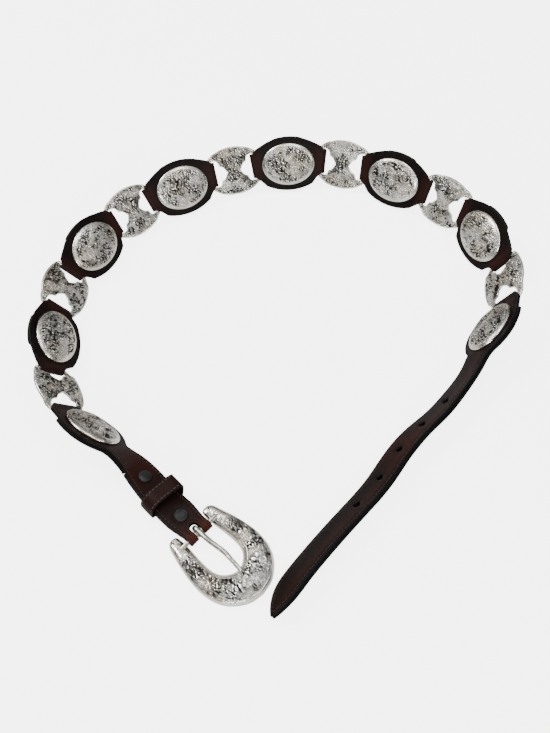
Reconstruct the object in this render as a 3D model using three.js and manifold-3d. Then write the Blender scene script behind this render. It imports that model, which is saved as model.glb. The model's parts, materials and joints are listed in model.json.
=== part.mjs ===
import * as THREE from 'three';
import { mergeVertices } from 'three/addons/utils/BufferGeometryUtils.js';
import Module from 'manifold-3d';

// Leather concho belt, lying in an open loop on the edges of its leather. Millimetres, +Z up.
// Local frames: x runs along the belt, y across it to its raised edge, n out of the concho side.

// Leather
const leatherThick = 2.0;
const layerGap = 0.3;
const edgeGap = 0.4;
const tabHalfWidth = 10;
const padMarginLong = 4.45;
const padMarginWide = 4.8;
const padSideLength = 64;
const loopReach = 5.5;
const rootOverlap = 1.5;
const rootEase = 2.5;

// Conchos and their screws
const conchoLength = 44.5;
const conchoWidth = 35;
const conchoRise = 5.6;
const conchoWall = 1.2;
const conchoRim = 2.2;
const seatGap = 0.4;
const postRadius = 2.1;
const postClearance = 0.35;
const screwHeadRadius = 4.5;
const screwHeadThick = 1.4;

// Connectors
const connectorPitch = 37.2;
const connectorWidth = 40;
const connectorOvalLength = 53.6;
const connectorThick = 1.6;
const connectorCrown = 2.6;
const connectorLift = 0.6;
const armDip = 1.9;
const armDipStart = 12;
const armDipEnd = 17;
const armPastBar = 1.9;
const armGap = 1.0;
const barRadius = 1.0;
const barClearance = 0.35;
const waistHalfLength = 5.6;
const armCorner = 0.8;

// Distance between the two bars that one oval link joins
const linkPitch = 56.4;

// Buckle-end strap
const buckleStrapLength = 136.5;
const buckleStrapHalfWidth = 11.4;
const buckleFoldHalfWidth = 9.7;
const flapLength = 66;
const slotHalfWidth = 2.5;
const slotBack = 8.5;
const foldReach = 7;
const keeperWidth = 12;
const keeperThick = 1.7;
const keeperSideGap = 0.6;
const keeperHollow = 7.6;
const snapRadius = 4.6;
const snapRise = 1.1;
const snapPostRadius = 1.6;
const snapGap = 0.45;
const keeperPlace = 35;
const snapPlaces = [16.5, 55];

// Tongue strap
const tongueLength = 287;
const tongueHalfWidth = 10.6;
const tipLength = 24;
const tonguePadShare = 0.186;
const tongueRoom = 1;
const holeRadius = 2.3;
const firstHole = 95;
const holePitch = 25;
const holeCount = 5;

// Buckle, in its own frame: x from the bar to the toe, n up
const buckleLength = 70.5;
const buckleWidth = 54;
const buckleRise = 8.6;
const buckleEdge = 2.4;
const buckleBarRadius = 1.7;
const buckleBarPlace = 10.5;
const buckleSoleDrop = 5.0;
const prongRadius = 1.75;
const prongClearance = 0.3;
const prongPastWindow = 4.2;
const prongTipShare = 0.68;

// How the belt lies: the plan direction of each chain piece and how far its raised edge leans up, in degrees
const chainLay = [
  { piece: 'connector', heading: 107, lean: 51 },
  { piece: 'link', heading: 87, lean: 51 },
  { piece: 'connector', heading: 73, lean: 50 },
  { piece: 'link', heading: 52, lean: 51 },
  { piece: 'connector', heading: 33, lean: 52 },
  { piece: 'link', heading: 18, lean: 53 },
  { piece: 'connector', heading: 5, lean: 55 },
  { piece: 'link', heading: -6, lean: 57 },
  { piece: 'connector', heading: -25, lean: 59 },
  { piece: 'link', heading: -39, lean: 60 },
  { piece: 'connector', heading: -48, lean: 60 },
  { piece: 'link', heading: -73, lean: 58 },
  { piece: 'connector', heading: -99, lean: 55 },
];

// Strap lay: share of the strap's length from the connector's bar, plan direction of the belt, lean in
// degrees, and height of the strap's middle as a share of half the pad's width
const buckleStrapLay = [
  { along: 0, heading: 133.1, lean: 52, height: 0.86 },
  { along: 0.39, heading: 133.1, lean: 52, height: 0.86 },
  { along: 0.405, heading: 133.1, lean: 52, height: 0.86 },
  { along: 0.47, heading: 134.4, lean: 45, height: 0.72 },
  { along: 0.54, heading: 127.7, lean: 33, height: 0.55 },
  { along: 0.62, heading: 123.8, lean: 22, height: 0.44 },
  { along: 0.7, heading: 125.7, lean: 15, height: 0.39 },
  { along: 0.82, heading: 130.4, lean: 11, height: 0.34 },
  { along: 0.94, heading: 131.5, lean: 3, height: 0.25 },
  { along: 1, heading: 130, lean: 0, height: 0.235 },
];
const tongueLay = [
  { along: 0, heading: -126.7, lean: 52, height: 0.86 },
  { along: 0.176, heading: -126.7, lean: 52, height: 0.86 },
  { along: 0.186, heading: -126.7, lean: 52, height: 0.86 },
  { along: 0.25, heading: -134.9, lean: 53, height: 0.56 },
  { along: 0.33, heading: -138, lean: 49, height: 0.435 },
  { along: 0.41, heading: -145.6, lean: 45, height: 0.415 },
  { along: 0.47, heading: -138.8, lean: 40, height: 0.39 },
  { along: 0.55, heading: -130.9, lean: 38, height: 0.38 },
  { along: 0.66, heading: -139.4, lean: 40, height: 0.39 },
  { along: 0.78, heading: -138.5, lean: 40, height: 0.39 },
  { along: 0.89, heading: -134.8, lean: 40, height: 0.39 },
  { along: 1, heading: -123.2, lean: 38, height: 0.37 },
];

// Half of the buckle's two outlines, from an arm's end to the toe. Lengths are shares of buckleLength from
// the arms' ends and widths are shares of half of buckleWidth. Rise is a share of buckleRise.
const buckleSections = [
  { outerAlong: 0, outerSide: 0.6, innerAlong: 0, innerSide: 0.52, rise: 0.2 },
  { outerAlong: 0.01, outerSide: 0.68, innerAlong: 0.015, innerSide: 0.45, rise: 0.42 },
  { outerAlong: 0.05, outerSide: 0.76, innerAlong: 0.06, innerSide: 0.425, rise: 0.52 },
  { outerAlong: 0.14, outerSide: 0.83, innerAlong: 0.14, innerSide: 0.42, rise: 0.58 },
  { outerAlong: 0.28, outerSide: 0.92, innerAlong: 0.26, innerSide: 0.44, rise: 0.66 },
  { outerAlong: 0.43, outerSide: 0.985, innerAlong: 0.39, innerSide: 0.46, rise: 0.76 },
  { outerAlong: 0.58, outerSide: 1, innerAlong: 0.5, innerSide: 0.45, rise: 0.86 },
  { outerAlong: 0.73, outerSide: 0.93, innerAlong: 0.575, innerSide: 0.39, rise: 0.93 },
  { outerAlong: 0.86, outerSide: 0.74, innerAlong: 0.63, innerSide: 0.27, rise: 0.97 },
  { outerAlong: 0.965, outerSide: 0.39, innerAlong: 0.665, innerSide: 0.125, rise: 1 },
  { outerAlong: 1, outerSide: 0, innerAlong: 0.675, innerSide: 0, rise: 1 },
];

// Half of one connector window, from its mouth at the bar to its point at the waist, as shares
const windowEdge = [
  { along: 1, side: 1 },
  { along: 0.76, side: 0.9 },
  { along: 0.6, side: 0.54 },
  { along: 0.3, side: 0.4 },
  { along: 0, side: 0 },
];

const layerMiddle = layerGap / 2 + leatherThick / 2;
const faceTop = layerGap / 2 + leatherThick;
const padHalfLength = conchoLength / 2 + padMarginLong;
const padHalfWidth = conchoWidth / 2 + padMarginWide;
const padSideHalfLength = padSideLength / 2;
const loopInner = barRadius + barClearance;
const loopMiddle = loopInner + leatherThick / 2;
const boreRadius = postRadius + postClearance;

// Spacing of the sections along the straps
const strapStep = 5;
const tongueStep = 8.5;
const tipStep = 5;

// How far a cutting shape reaches past the layers that it cuts
const cutReach = 12;

const deg = THREE.MathUtils.degToRad;

const wasm = await Module();
wasm.setup();

// Closed solid of a geometry: vertices merged by place, collapsed triangles dropped
function solidOf(geometry) {
  const bare = geometry.index ? geometry.toNonIndexed() : geometry.clone();
  bare.deleteAttribute('normal');
  bare.deleteAttribute('uv');
  const merged = mergeVertices(bare, 1e-4);
  const index = merged.index.array;
  const triangles = [];
  for (let i = 0; i < index.length; i += 3) {
    const [a, b, c] = [index[i], index[i + 1], index[i + 2]];
    if (a !== b && b !== c && c !== a) triangles.push(a, b, c);
  }
  const vertProperties = new Float32Array(merged.attributes.position.array);
  return new wasm.Manifold(new wasm.Mesh({ numProp: 3, vertProperties, triVerts: new Uint32Array(triangles) }));
}

function geometryOf(solid) {
  const mesh = solid.getMesh();
  const geometry = new THREE.BufferGeometry();
  geometry.setAttribute('position', new THREE.BufferAttribute(new Float32Array(mesh.vertProperties), 3));
  geometry.setIndex(new THREE.BufferAttribute(new Uint32Array(mesh.triVerts), 1));
  return geometry;
}

function signedVolume(points, index) {
  let volume = 0;
  for (let i = 0; i < index.length; i += 3) {
    const [a, b, c] = [points[index[i]], points[index[i + 1]], points[index[i + 2]]];
    volume += a.dot(new THREE.Vector3().crossVectors(b, c)) / 6;
  }
  return volume;
}

// Skin over rings that all have the same number of points, closed by a fan at each end
function skin(rings) {
  const size = rings[0].length;
  const points = rings.flat();
  const index = [];
  for (let r = 0; r < rings.length - 1; r++) {
    for (let k = 0; k < size; k++) {
      const a = r * size + k;
      const b = r * size + ((k + 1) % size);
      index.push(a, b, b + size, a, b + size, a + size);
    }
  }
  const last = (rings.length - 1) * size;
  for (let k = 1; k < size - 1; k++) {
    index.push(0, k + 1, k, last, last + k, last + k + 1);
  }
  if (signedVolume(points, index) < 0) index.reverse();
  const geometry = new THREE.BufferGeometry().setFromPoints(points);
  geometry.setIndex(index);
  return geometry;
}

function circlePoints(radius, sides) {
  return Array.from({ length: sides }, (_, k) => {
    const angle = ((k + 0.5) / sides) * Math.PI * 2;
    return new THREE.Vector2(radius * Math.cos(angle), radius * Math.sin(angle));
  });
}

// Round bar along n, from low to high
function roundPost(radius, low, high, sides) {
  const post = new THREE.ExtrudeGeometry(new THREE.Shape(circlePoints(radius, sides)), {
    depth: high - low,
    bevelEnabled: false,
  });
  return post.translate(0, 0, low);
}

// Flat plate of an outline in the x-y plane
function plate(outline, low, high) {
  const flat = new THREE.ExtrudeGeometry(new THREE.Shape(outline), { depth: high - low, bevelEnabled: false });
  return flat.translate(0, 0, low);
}

// Local frame of a piece: its plan heading, its lean and the slope of its x axis
function layFrame(place, heading, lean, slope) {
  const x = new THREE.Vector3(
    Math.cos(slope) * Math.cos(heading),
    Math.cos(slope) * Math.sin(heading),
    Math.sin(slope)
  );
  const out = new THREE.Vector3(-Math.sin(heading), Math.cos(heading), 0);
  const up = new THREE.Vector3().crossVectors(x, out);
  const y = out.multiplyScalar(Math.cos(lean)).addScaledVector(up, Math.sin(lean));
  const n = new THREE.Vector3().crossVectors(x, y);
  return { place: place.clone(), x, y, n };
}

function matrixOf(frame) {
  return new THREE.Matrix4().makeBasis(frame.x, frame.y, frame.n).setPosition(frame.place);
}

function pointIn(frame, along, across, up) {
  return frame.place
    .clone()
    .addScaledVector(frame.x, along)
    .addScaledVector(frame.y, across)
    .addScaledVector(frame.n, up);
}

// Frame of a leather loop on a bar: y on the bar, x away from the leather piece that owns the loop
function loopFrame(place, barFrame, ownerNormal, outward) {
  const y = barFrame.y.clone().multiplyScalar(outward);
  const n = ownerNormal.clone().addScaledVector(y, -ownerNormal.dot(y)).normalize();
  const x = new THREE.Vector3().crossVectors(y, n);
  return { place: place.clone(), x, y, n };
}

// Places and frames of the chain's connectors and links
function layChain() {
  const restHeight = (lean) => padHalfWidth * Math.sin(lean) + faceTop * Math.cos(lean);
  const heights = chainLay.map((row) => restHeight(deg(row.lean)));
  const hinge = new THREE.Vector3(0, 0, heights[0]);
  return chainLay.map((row, i) => {
    const length = row.piece === 'link' ? linkPitch : connectorPitch;
    const next = chainLay[i + 1] ? (heights[i] + heights[i + 1]) / 2 : heights[i];
    const slope = Math.asin((next - hinge.z) / length);
    const frame = layFrame(hinge, deg(row.heading), deg(row.lean), slope);
    const start = hinge.clone();
    hinge.addScaledVector(frame.x, length);
    frame.place.addScaledVector(frame.x, length / 2);
    return { piece: row.piece, frame, start, end: hinge.clone() };
  });
}

// Smooth reading between the rows of a strap's lay
function layReader(rows) {
  const places = rows.map((row) => row.along);
  const values = rows.flatMap((row) => [row.heading, row.lean, row.height]);
  const curve = new THREE.CubicInterpolant(places, values, 3);
  return (share) => {
    const [heading, lean, height] = curve.evaluate(share);
    return { heading: deg(heading), lean: deg(lean), height: height * padHalfWidth };
  };
}

// Frames along a strap, step by step from its bar. Sign is -1 where the strap runs against the belt's x.
function layStrap(rows, length, start, sign) {
  const step = 2;
  const steps = Math.round(length / step);
  const plan = start.clone();
  const frames = [];
  const rowAt = layReader(rows);
  const shift = start.z - rowAt(0).height;
  for (let i = 0; i <= steps; i++) {
    const distance = (i / steps) * length;
    const row = rowAt(distance / length);
    const fade = Math.max(0, 1 - distance / length);
    plan.z = row.height + shift * fade;
    const ahead = rowAt(Math.min(1, (distance + step) / length));
    const slope = Math.asin(THREE.MathUtils.clamp((ahead.height - row.height) / step, -0.5, 0.5)) * sign;
    frames.push({ ...layFrame(plan, row.heading, row.lean, slope), distance });
    const advance = (sign * length) / steps;
    plan.x += advance * Math.cos(slope) * Math.cos(row.heading);
    plan.y += advance * Math.cos(slope) * Math.sin(row.heading);
  }
  return frames;
}

function frameAt(frames, distance) {
  const next = Math.max(1, frames.findIndex((frame) => frame.distance >= distance - 1e-9));
  const low = frames[next - 1];
  const high = frames[next];
  const mix = (distance - low.distance) / (high.distance - low.distance);
  const x = low.x.clone().lerp(high.x, mix).normalize();
  const y = low.y.clone().lerp(high.y, mix);
  y.addScaledVector(x, -x.dot(y)).normalize();
  return { place: low.place.clone().lerp(high.place, mix), x, y, n: new THREE.Vector3().crossVectors(x, y) };
}

// The larger of two half widths, with a rounded change between them
function softMax(a, b, round) {
  return (a + b + Math.hypot(a - b, round)) / 2;
}

function ovalHalf(offset, halfLength) {
  const inside = 1 - (offset / halfLength) ** 2;
  return inside > 0 ? padHalfWidth * Math.sqrt(inside) : 0;
}

const padCentre = linkPitch / 2;

// Half width of a strap end: a tab at the bar, an oval pad under the concho, then the strap itself
function padHalf(distance, strapHalf) {
  if (distance < padCentre) {
    return softMax(tabHalfWidth, ovalHalf(distance - padCentre, padSideHalfLength), 0.5);
  }
  return softMax(strapHalf, ovalHalf(distance - padCentre, padHalfLength), 3.5);
}

function buckleStrapHalf(distance) {
  const foldEase = THREE.MathUtils.smoothstep(distance, buckleStrapLength * 0.86, buckleStrapLength * 0.97);
  const strap = THREE.MathUtils.lerp(buckleStrapHalfWidth, buckleFoldHalfWidth, foldEase);
  return padHalf(distance, strap);
}

function tongueHalf(distance) {
  const fromTip = tongueLength - distance;
  if (fromTip < tipLength) {
    return Math.max(0.8, tongueHalfWidth * Math.sin((fromTip / tipLength) * Math.PI * 0.5) ** 0.8);
  }
  return padHalf(distance, tongueHalfWidth);
}

// One leather section: middle, direction across, direction through the leather
function leatherRing(middle, across, through, half, thick) {
  const corner = (side, level) =>
    middle.clone().addScaledVector(across, side * half).addScaledVector(through, level * thick * 0.5);
  return [corner(1, 1), corner(1, -1), corner(-1, -1), corner(-1, 1)];
}

// The near side of a tab follows the pad's oval, the far side keeps the tab's own width
function tabNearHalf(along) {
  return Math.max(tabHalfWidth, ovalHalf(padCentre + along, padSideHalfLength));
}

// Sections of a leather loop round a bar, from its far layer to its near layer. Side is -1 where the loop's
// own y runs against that of the leather it belongs to.
function loopRings(frame, middleRadius, farHalf, reach, steps, side, nearHalf = () => farHalf) {
  const rings = [];
  const across = frame.y.clone().multiplyScalar(side);
  const add = (along, up, nx, nn) => {
    const through = frame.x.clone().multiplyScalar(nx).addScaledVector(frame.n, nn);
    const half = up > 0 ? nearHalf(along) : farHalf;
    rings.push(leatherRing(pointIn(frame, along, 0, up), across, through, half, leatherThick));
  };
  add(-reach, -layerMiddle, 0, -1);
  for (let i = 0; i <= steps; i++) {
    const angle = deg(-110 + (220 * i) / steps);
    const [c, s] = [Math.cos(angle), Math.sin(angle)];
    add(middleRadius * c, middleRadius * s, c, s);
  }
  add(-reach, layerMiddle, 0, 1);
  add(-reach - rootOverlap, layerMiddle, 0, 1);
  return rings;
}

function standPost(frame, radius, low, high, sides) {
  return solidOf(roundPost(radius, low, high, sides).applyMatrix4(matrixOf(frame)));
}

function metal(color, roughness) {
  return new THREE.MeshStandardMaterial({ color, metalness: 1, roughness });
}

const silver = metal(0xc9c6bf, 0.28);
const gunmetal = metal(0x2b2c2d, 0.5);
const faceLeather = new THREE.MeshStandardMaterial({ color: 0x2a1512, metalness: 0, roughness: 0.55 });
const backLeather = new THREE.MeshStandardMaterial({ color: 0x140c0b, metalness: 0, roughness: 0.65 });

const belt = new THREE.Group();

function addMesh(name, geometry, material, frame) {
  const mesh = new THREE.Mesh(geometry, material);
  mesh.name = name;
  if (frame) {
    matrixOf(frame).decompose(mesh.position, mesh.quaternion, mesh.scale);
  }
  belt.add(mesh);
}

function conchoGeometry() {
  const radius = conchoLength / 2;
  const rim = radius - conchoRim;
  const wall = conchoWall;
  const profile = [
    [0, conchoRise],
    [rim * 0.5, conchoRise * 0.9],
    [rim, conchoRise * 0.4],
    [radius, wall * 0.8],
    [radius, 0],
    [rim - wall, 0],
    [0, conchoRise - wall],
  ];
  const points = profile.map(([r, z]) => new THREE.Vector2(r, z));
  const shell = new THREE.LatheGeometry(points.reverse(), 22).rotateX(Math.PI / 2);
  shell.scale(1, conchoWidth / conchoLength, 1);
  const post = roundPost(postRadius, -faceTop - seatGap + layerGap, conchoRise - wall * 0.6, 8);
  return geometryOf(solidOf(shell).add(solidOf(post)));
}

function screwGeometry() {
  const head = solidOf(roundPost(screwHeadRadius, -screwHeadThick, 0, 12));
  const shank = solidOf(roundPost(postRadius, -screwHeadThick / 2, faceTop - layerGap, 8));
  return geometryOf(head.add(shank));
}

// Pierced, domed plate with a round bar at each end
function connectorGeometry() {
  const halfWidth = connectorWidth / 2;
  const halfOval = connectorOvalLength / 2;
  const armEnd = connectorPitch / 2 + armPastBar;
  const mouth = connectorPitch / 2 - loopInner - leatherThick - edgeGap;
  const windowHalf = tabHalfWidth + armGap;
  const rimAt = (x) => halfWidth * Math.sqrt(1 - (x / halfOval) ** 2);
  const quarter = [];
  for (let i = 0; i <= 3; i++) {
    const x = (armEnd - armCorner) * (i / 3);
    quarter.push([x, rimAt(x)]);
  }
  quarter.push([armEnd, rimAt(armEnd) - armCorner]);
  quarter.push([armEnd, windowHalf + armCorner / 2]);
  quarter.push([armEnd - armCorner / 2, windowHalf]);
  for (const row of windowEdge) {
    quarter.push([waistHalfLength + (mouth - waistHalfLength) * row.along, windowHalf * row.side]);
  }
  const mirrored = (sx, sy) => quarter.map(([x, y]) => new THREE.Vector2(sx * x, sy * y));
  const outline = [
    ...mirrored(1, 1),
    ...mirrored(1, -1).reverse().slice(1),
    ...mirrored(-1, -1).slice(1),
    ...mirrored(-1, 1).reverse().slice(1, -1),
  ];
  const slab = new THREE.BoxGeometry(armEnd * 2 + 0.4, connectorWidth + 0.4, connectorThick, 12, 4, 1);
  const position = slab.attributes.position;
  for (let i = 0; i < position.count; i++) {
    const across = 1 - (position.getY(i) / halfWidth) ** 2;
    const along = 1 - 0.75 * (position.getX(i) / armEnd) ** 2;
    const dip = armDip * THREE.MathUtils.smoothstep(Math.abs(position.getX(i)), armDipStart, armDipEnd);
    position.setZ(i, position.getZ(i) + connectorLift + connectorCrown * across * along - dip);
  }
  let body = solidOf(slab).intersect(solidOf(plate(outline, -cutReach, cutReach)));
  const barHalf = (windowHalf + rimAt(connectorPitch / 2)) / 2;
  for (const end of [-1, 1]) {
    const bar = roundPost(barRadius, -barHalf, barHalf, 8).rotateX(Math.PI / 2);
    body = body.add(solidOf(bar.translate((end * connectorPitch) / 2, 0, 0)));
  }
  return geometryOf(body);
}

// Long oval outline cut straight across at both ends
function padOutline(cut) {
  const sweep = Math.acos(cut / padSideHalfLength);
  const points = [];
  for (const side of [1, -1]) {
    for (let i = 0; i <= 10; i++) {
      const angle = sweep + ((Math.PI - 2 * sweep) * i) / 10;
      points.push(new THREE.Vector2(side * padSideHalfLength * Math.cos(angle), side * padHalfWidth * Math.sin(angle)));
    }
  }
  return points;
}

function linkFaceGeometry(link, loops) {
  const toLink = matrixOf(link.frame).invert();
  let body = solidOf(plate(padOutline(linkPitch / 2 - loopReach - 0.2), layerGap / 2, faceTop));
  for (const loop of loops) {
    const rings = loopRings(loop, loopMiddle, tabHalfWidth, loopReach, 6, 1, tabNearHalf);
    body = body.add(solidOf(skin(rings).applyMatrix4(toLink)));
  }
  const bore = solidOf(roundPost(boreRadius, -cutReach, cutReach, 8));
  return geometryOf(body.subtract(bore));
}

function linkBackGeometry() {
  const skewRoom = tabHalfWidth * 0.65;
  const body = solidOf(plate(padOutline(linkPitch / 2 - loopReach - skewRoom), -faceTop, -layerGap / 2));
  return geometryOf(body.subtract(solidOf(roundPost(boreRadius, -cutReach, cutReach, 8))));
}

function addConcho(index, frame) {
  const seat = { ...frame, place: pointIn(frame, 0, 0, faceTop + seatGap) };
  const back = { ...frame, place: pointIn(frame, 0, 0, -faceTop - seatGap) };
  addMesh(`concho_${index}`, conchoShape, silver, seat);
  addMesh(`concho_screw_${index}`, screwShape, gunmetal, back);
}

// Strap sections from one distance to another. Face is 1 for the top layer and -1 for the one below.
function strapRings(frames, from, to, pitch, face, halfAt) {
  const [low, high] = [Math.min(from, to), Math.max(from, to)];
  const stops = [low];
  for (let stop = Math.ceil((low + 0.5) / pitch) * pitch; stop < high - 0.5; stop += pitch) stops.push(stop);
  stops.push(high);
  if (from > to) stops.reverse();
  return stops.map((distance) => {
    const frame = frameAt(frames, distance);
    const through = frame.n.clone().multiplyScalar(face);
    const middle = pointIn(frame, 0, 0, face * layerMiddle);
    return leatherRing(middle, frame.y, through, halfAt(distance), leatherThick);
  });
}

// The frame between a loop's own frame and the strap's, a short way from the bar
function easeRing(frames, loop, distance, sign, share, halfAt) {
  const frame = frameAt(frames, distance);
  const y = frame.y.clone().lerp(loop.y.clone().multiplyScalar(sign), 1 - share).normalize();
  return leatherRing(pointIn(frame, 0, 0, layerMiddle), y, frame.n, halfAt(distance), leatherThick);
}

function punch(body, frame, radius, sides) {
  return body.subtract(standPost(frame, radius, -cutReach, cutReach, sides));
}

const chain = layChain();
const conchoShape = conchoGeometry();
const screwShape = screwGeometry();
const connectorShape = connectorGeometry();
const linkBackShape = linkBackGeometry();

let connectorCount = 0;
let linkCount = 0;
chain.forEach((item, i) => {
  if (item.piece === 'connector') {
    connectorCount += 1;
    addMesh(`connector_${connectorCount}`, connectorShape, silver, item.frame);
    return;
  }
  linkCount += 1;
  const loops = [
    loopFrame(item.start, chain[i - 1].frame, item.frame.n, -1),
    loopFrame(item.end, chain[i + 1].frame, item.frame.n, 1),
  ];
  addMesh(`link_face_${linkCount}`, linkFaceGeometry(item, loops), faceLeather, item.frame);
  addMesh(`link_back_${linkCount}`, linkBackShape, backLeather, item.frame);
  addConcho(linkCount + 1, item.frame);
});

// Buckle-end strap: round the first connector's bar, along to the buckle's bar, round it and back underneath
const firstBar = chain[0];
const strapA = layStrap(buckleStrapLay, buckleStrapLength, firstBar.start, -1);
const loopA = loopFrame(firstBar.start, firstBar.frame, frameAt(strapA, loopReach).n, 1);
const buckleEnd = frameAt(strapA, buckleStrapLength);
const buckleFrame = {
  place: buckleEnd.place.clone(),
  x: buckleEnd.x.clone().negate(),
  y: buckleEnd.y.clone().negate(),
  n: buckleEnd.n.clone(),
};
const foldMiddle = buckleBarRadius + barClearance + leatherThick / 2;
const flapEnd = buckleStrapLength - flapLength;

function buckleStrapGeometry() {
  const nearRings = loopRings(loopA, loopMiddle, tabHalfWidth, loopReach, 6, 1, tabNearHalf).slice(0, -2);
  const ease = [
    easeRing(strapA, loopA, loopReach, 1, 0.35, buckleStrapHalf),
    easeRing(strapA, loopA, loopReach + rootEase, 1, 0.8, buckleStrapHalf),
  ];
  const topEnd = buckleStrapLength - foldReach;
  const along = strapRings(strapA, loopReach + rootEase * 2, topEnd, strapStep, 1, buckleStrapHalf);
  const fold = loopRings(buckleFrame, foldMiddle, buckleFoldHalfWidth, foldReach, 6, -1).slice(1, -2).reverse();
  const flap = strapRings(strapA, topEnd, flapEnd, strapStep, -1, buckleStrapHalf);
  let body = solidOf(skin([...nearRings, ...ease, ...along, ...fold, ...flap]));
  const slot = new THREE.BoxGeometry(slotBack + cutReach, slotHalfWidth * 2, cutReach * 2);
  slot.translate((cutReach - slotBack) / 2, 0, 0);
  body = body.subtract(solidOf(slot.applyMatrix4(matrixOf(buckleFrame))));
  body = punch(body, frameAt(strapA, padCentre), boreRadius, 8);
  for (const place of snapPlaces) {
    body = punch(body, frameAt(strapA, buckleStrapLength - place), snapPostRadius + layerGap, 8);
  }
  return geometryOf(body);
}

const strapSkewRoom = loopReach + tabHalfWidth * 0.5;

addMesh('buckle_strap', buckleStrapGeometry(), faceLeather);

const liningRings = strapRings(strapA, strapSkewRoom, flapEnd - edgeGap, strapStep, -1, buckleStrapHalf);
const buckleLining = punch(solidOf(skin(liningRings)), frameAt(strapA, padCentre), boreRadius, 8);
addMesh('buckle_strap_lining', geometryOf(buckleLining), backLeather);
addConcho(1, frameAt(strapA, padCentre));

function snapGeometry() {
  const profile = [
    [0, snapRise],
    [snapRadius * 0.62, snapRise * 0.92],
    [snapRadius * 0.9, snapRise * 0.55],
    [snapRadius, 0],
    [0, 0],
  ];
  const points = profile.map(([r, z]) => new THREE.Vector2(r, z)).reverse();
  const cap = new THREE.LatheGeometry(points, 12).rotateX(Math.PI / 2).translate(0, 0, faceTop + snapGap);
  const back = cap.clone().rotateX(Math.PI);
  const reach = faceTop + snapGap + snapRise * 0.4;
  const post = roundPost(snapPostRadius, -reach, reach, 8);
  return geometryOf(solidOf(cap).add(solidOf(post)).add(solidOf(back)));
}

const snapShape = snapGeometry();
snapPlaces.forEach((place, i) => {
  addMesh(`snap_${i + 1}`, snapShape, gunmetal, frameAt(strapA, buckleStrapLength - place));
});

// Keeper: a closed leather band, arched over room for the tongue
function keeperGeometry() {
  const side = buckleStrapHalfWidth + keeperSideGap;
  const low = -faceTop - keeperSideGap;
  const high = faceTop + keeperHollow;
  const bandOutline = (grow) => [
    [-side - grow, low - grow],
    [side + grow, low - grow],
    [side + grow, high * 0.45 + grow * 0.4],
    [side * 0.72, high * 0.86 + grow],
    [side * 0.1, high + grow],
    [-side * 0.8, high * 1.06 + grow],
    [-side - grow, high * 0.8 + grow * 0.6],
  ];
  const band = (grow) => bandOutline(grow).map(([y, z]) => new THREE.Vector2(y, z));
  const shape = new THREE.Shape(band(keeperThick));
  shape.holes.push(new THREE.Path(band(0).reverse()));
  const solid = new THREE.ExtrudeGeometry(shape, { depth: keeperWidth, bevelEnabled: false });
  return solid.translate(0, 0, -keeperWidth / 2).rotateX(Math.PI / 2).rotateZ(Math.PI / 2);
}

addMesh('keeper_loop', keeperGeometry(), faceLeather, frameAt(strapA, buckleStrapLength - keeperPlace));

// Buckle: domed horseshoe skinned over sections from one arm's end round the toe to the other's
function buckleRing(row, side) {
  const half = buckleWidth / 2;
  const outer = new THREE.Vector2(row.outerAlong * buckleLength, side * row.outerSide * half);
  const inner = new THREE.Vector2(row.innerAlong * buckleLength, side * row.innerSide * half);
  const levels = [
    [1, 0],
    [0, 0],
    [0, buckleEdge],
    [0.14, buckleEdge + (buckleRise - buckleEdge) * row.rise * 0.62],
    [0.36, buckleEdge + (buckleRise - buckleEdge) * row.rise * 0.97],
    [0.62, buckleEdge + (buckleRise - buckleEdge) * row.rise * 0.95],
    [0.86, buckleEdge + (buckleRise - buckleEdge) * row.rise * 0.55],
    [1, buckleEdge],
  ];
  return levels.map(([across, level]) => {
    const p = outer.clone().lerp(inner, across);
    return new THREE.Vector3(p.x - buckleBarPlace, p.y, level - buckleSoleDrop);
  });
}

function buckleGeometry() {
  const left = buckleSections.map((row) => buckleRing(row, 1));
  const right = buckleSections.slice(0, -1).map((row) => buckleRing(row, -1)).reverse();
  const frame = solidOf(skin([...left, ...right]));
  const arm = buckleSections[3];
  const armHalf = ((buckleWidth / 2) * (arm.outerSide + arm.innerSide)) / 2;
  const bar = roundPost(buckleBarRadius, -armHalf, armHalf, 10).rotateX(Math.PI / 2);
  return geometryOf(frame.add(solidOf(bar)));
}

addMesh('buckle_frame', buckleGeometry(), silver, buckleFrame);

// Prong: a round wire bent round the bar, tapering to a tip that drops over the window's edge
function prongGeometry() {
  const eye = buckleBarRadius + prongClearance + prongRadius;
  const windowEnd = buckleLength * buckleSections.at(-1).innerAlong - buckleBarPlace;
  const restLevel = buckleRise * 0.45 + prongRadius;
  const route = [];
  for (let i = 0; i <= 9; i++) {
    const angle = deg(-60 - (225 * i) / 9);
    route.push(new THREE.Vector3(eye * Math.cos(angle), 0, eye * Math.sin(angle)));
  }
  route.push(new THREE.Vector3(windowEnd * 0.3, 0, restLevel * 0.95));
  route.push(new THREE.Vector3(windowEnd * 0.62, 0, restLevel * 0.88));
  route.push(new THREE.Vector3(windowEnd * 0.86, 0, restLevel * 0.8));
  route.push(new THREE.Vector3(windowEnd + prongPastWindow * 0.3, 0, restLevel * 0.7));
  route.push(new THREE.Vector3(windowEnd + prongPastWindow, 0, restLevel * 0.57));
  const curve = new THREE.CatmullRomCurve3(route, false, 'centripetal');
  const steps = 22;
  const rings = [];
  for (let i = 0; i <= steps; i++) {
    const u = i / steps;
    const centre = curve.getPointAt(u);
    const tangent = curve.getTangentAt(u);
    const up = new THREE.Vector3().crossVectors(tangent, new THREE.Vector3(0, 1, 0)).normalize();
    const taper = THREE.MathUtils.lerp(1, prongTipShare, THREE.MathUtils.smoothstep(u, 0.55, 1));
    const ring = circlePoints(prongRadius * taper, 7).map((p) =>
      centre.clone().addScaledVector(up, p.x).addScaledVector(new THREE.Vector3(0, 1, 0), p.y)
    );
    rings.push(ring);
  }
  return skin(rings);
}

addMesh('buckle_prong', prongGeometry(), silver, buckleFrame);

// Tongue strap: round the last connector's bar, out past the end concho to the pointed tip
const lastBar = chain.at(-1);

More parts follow.
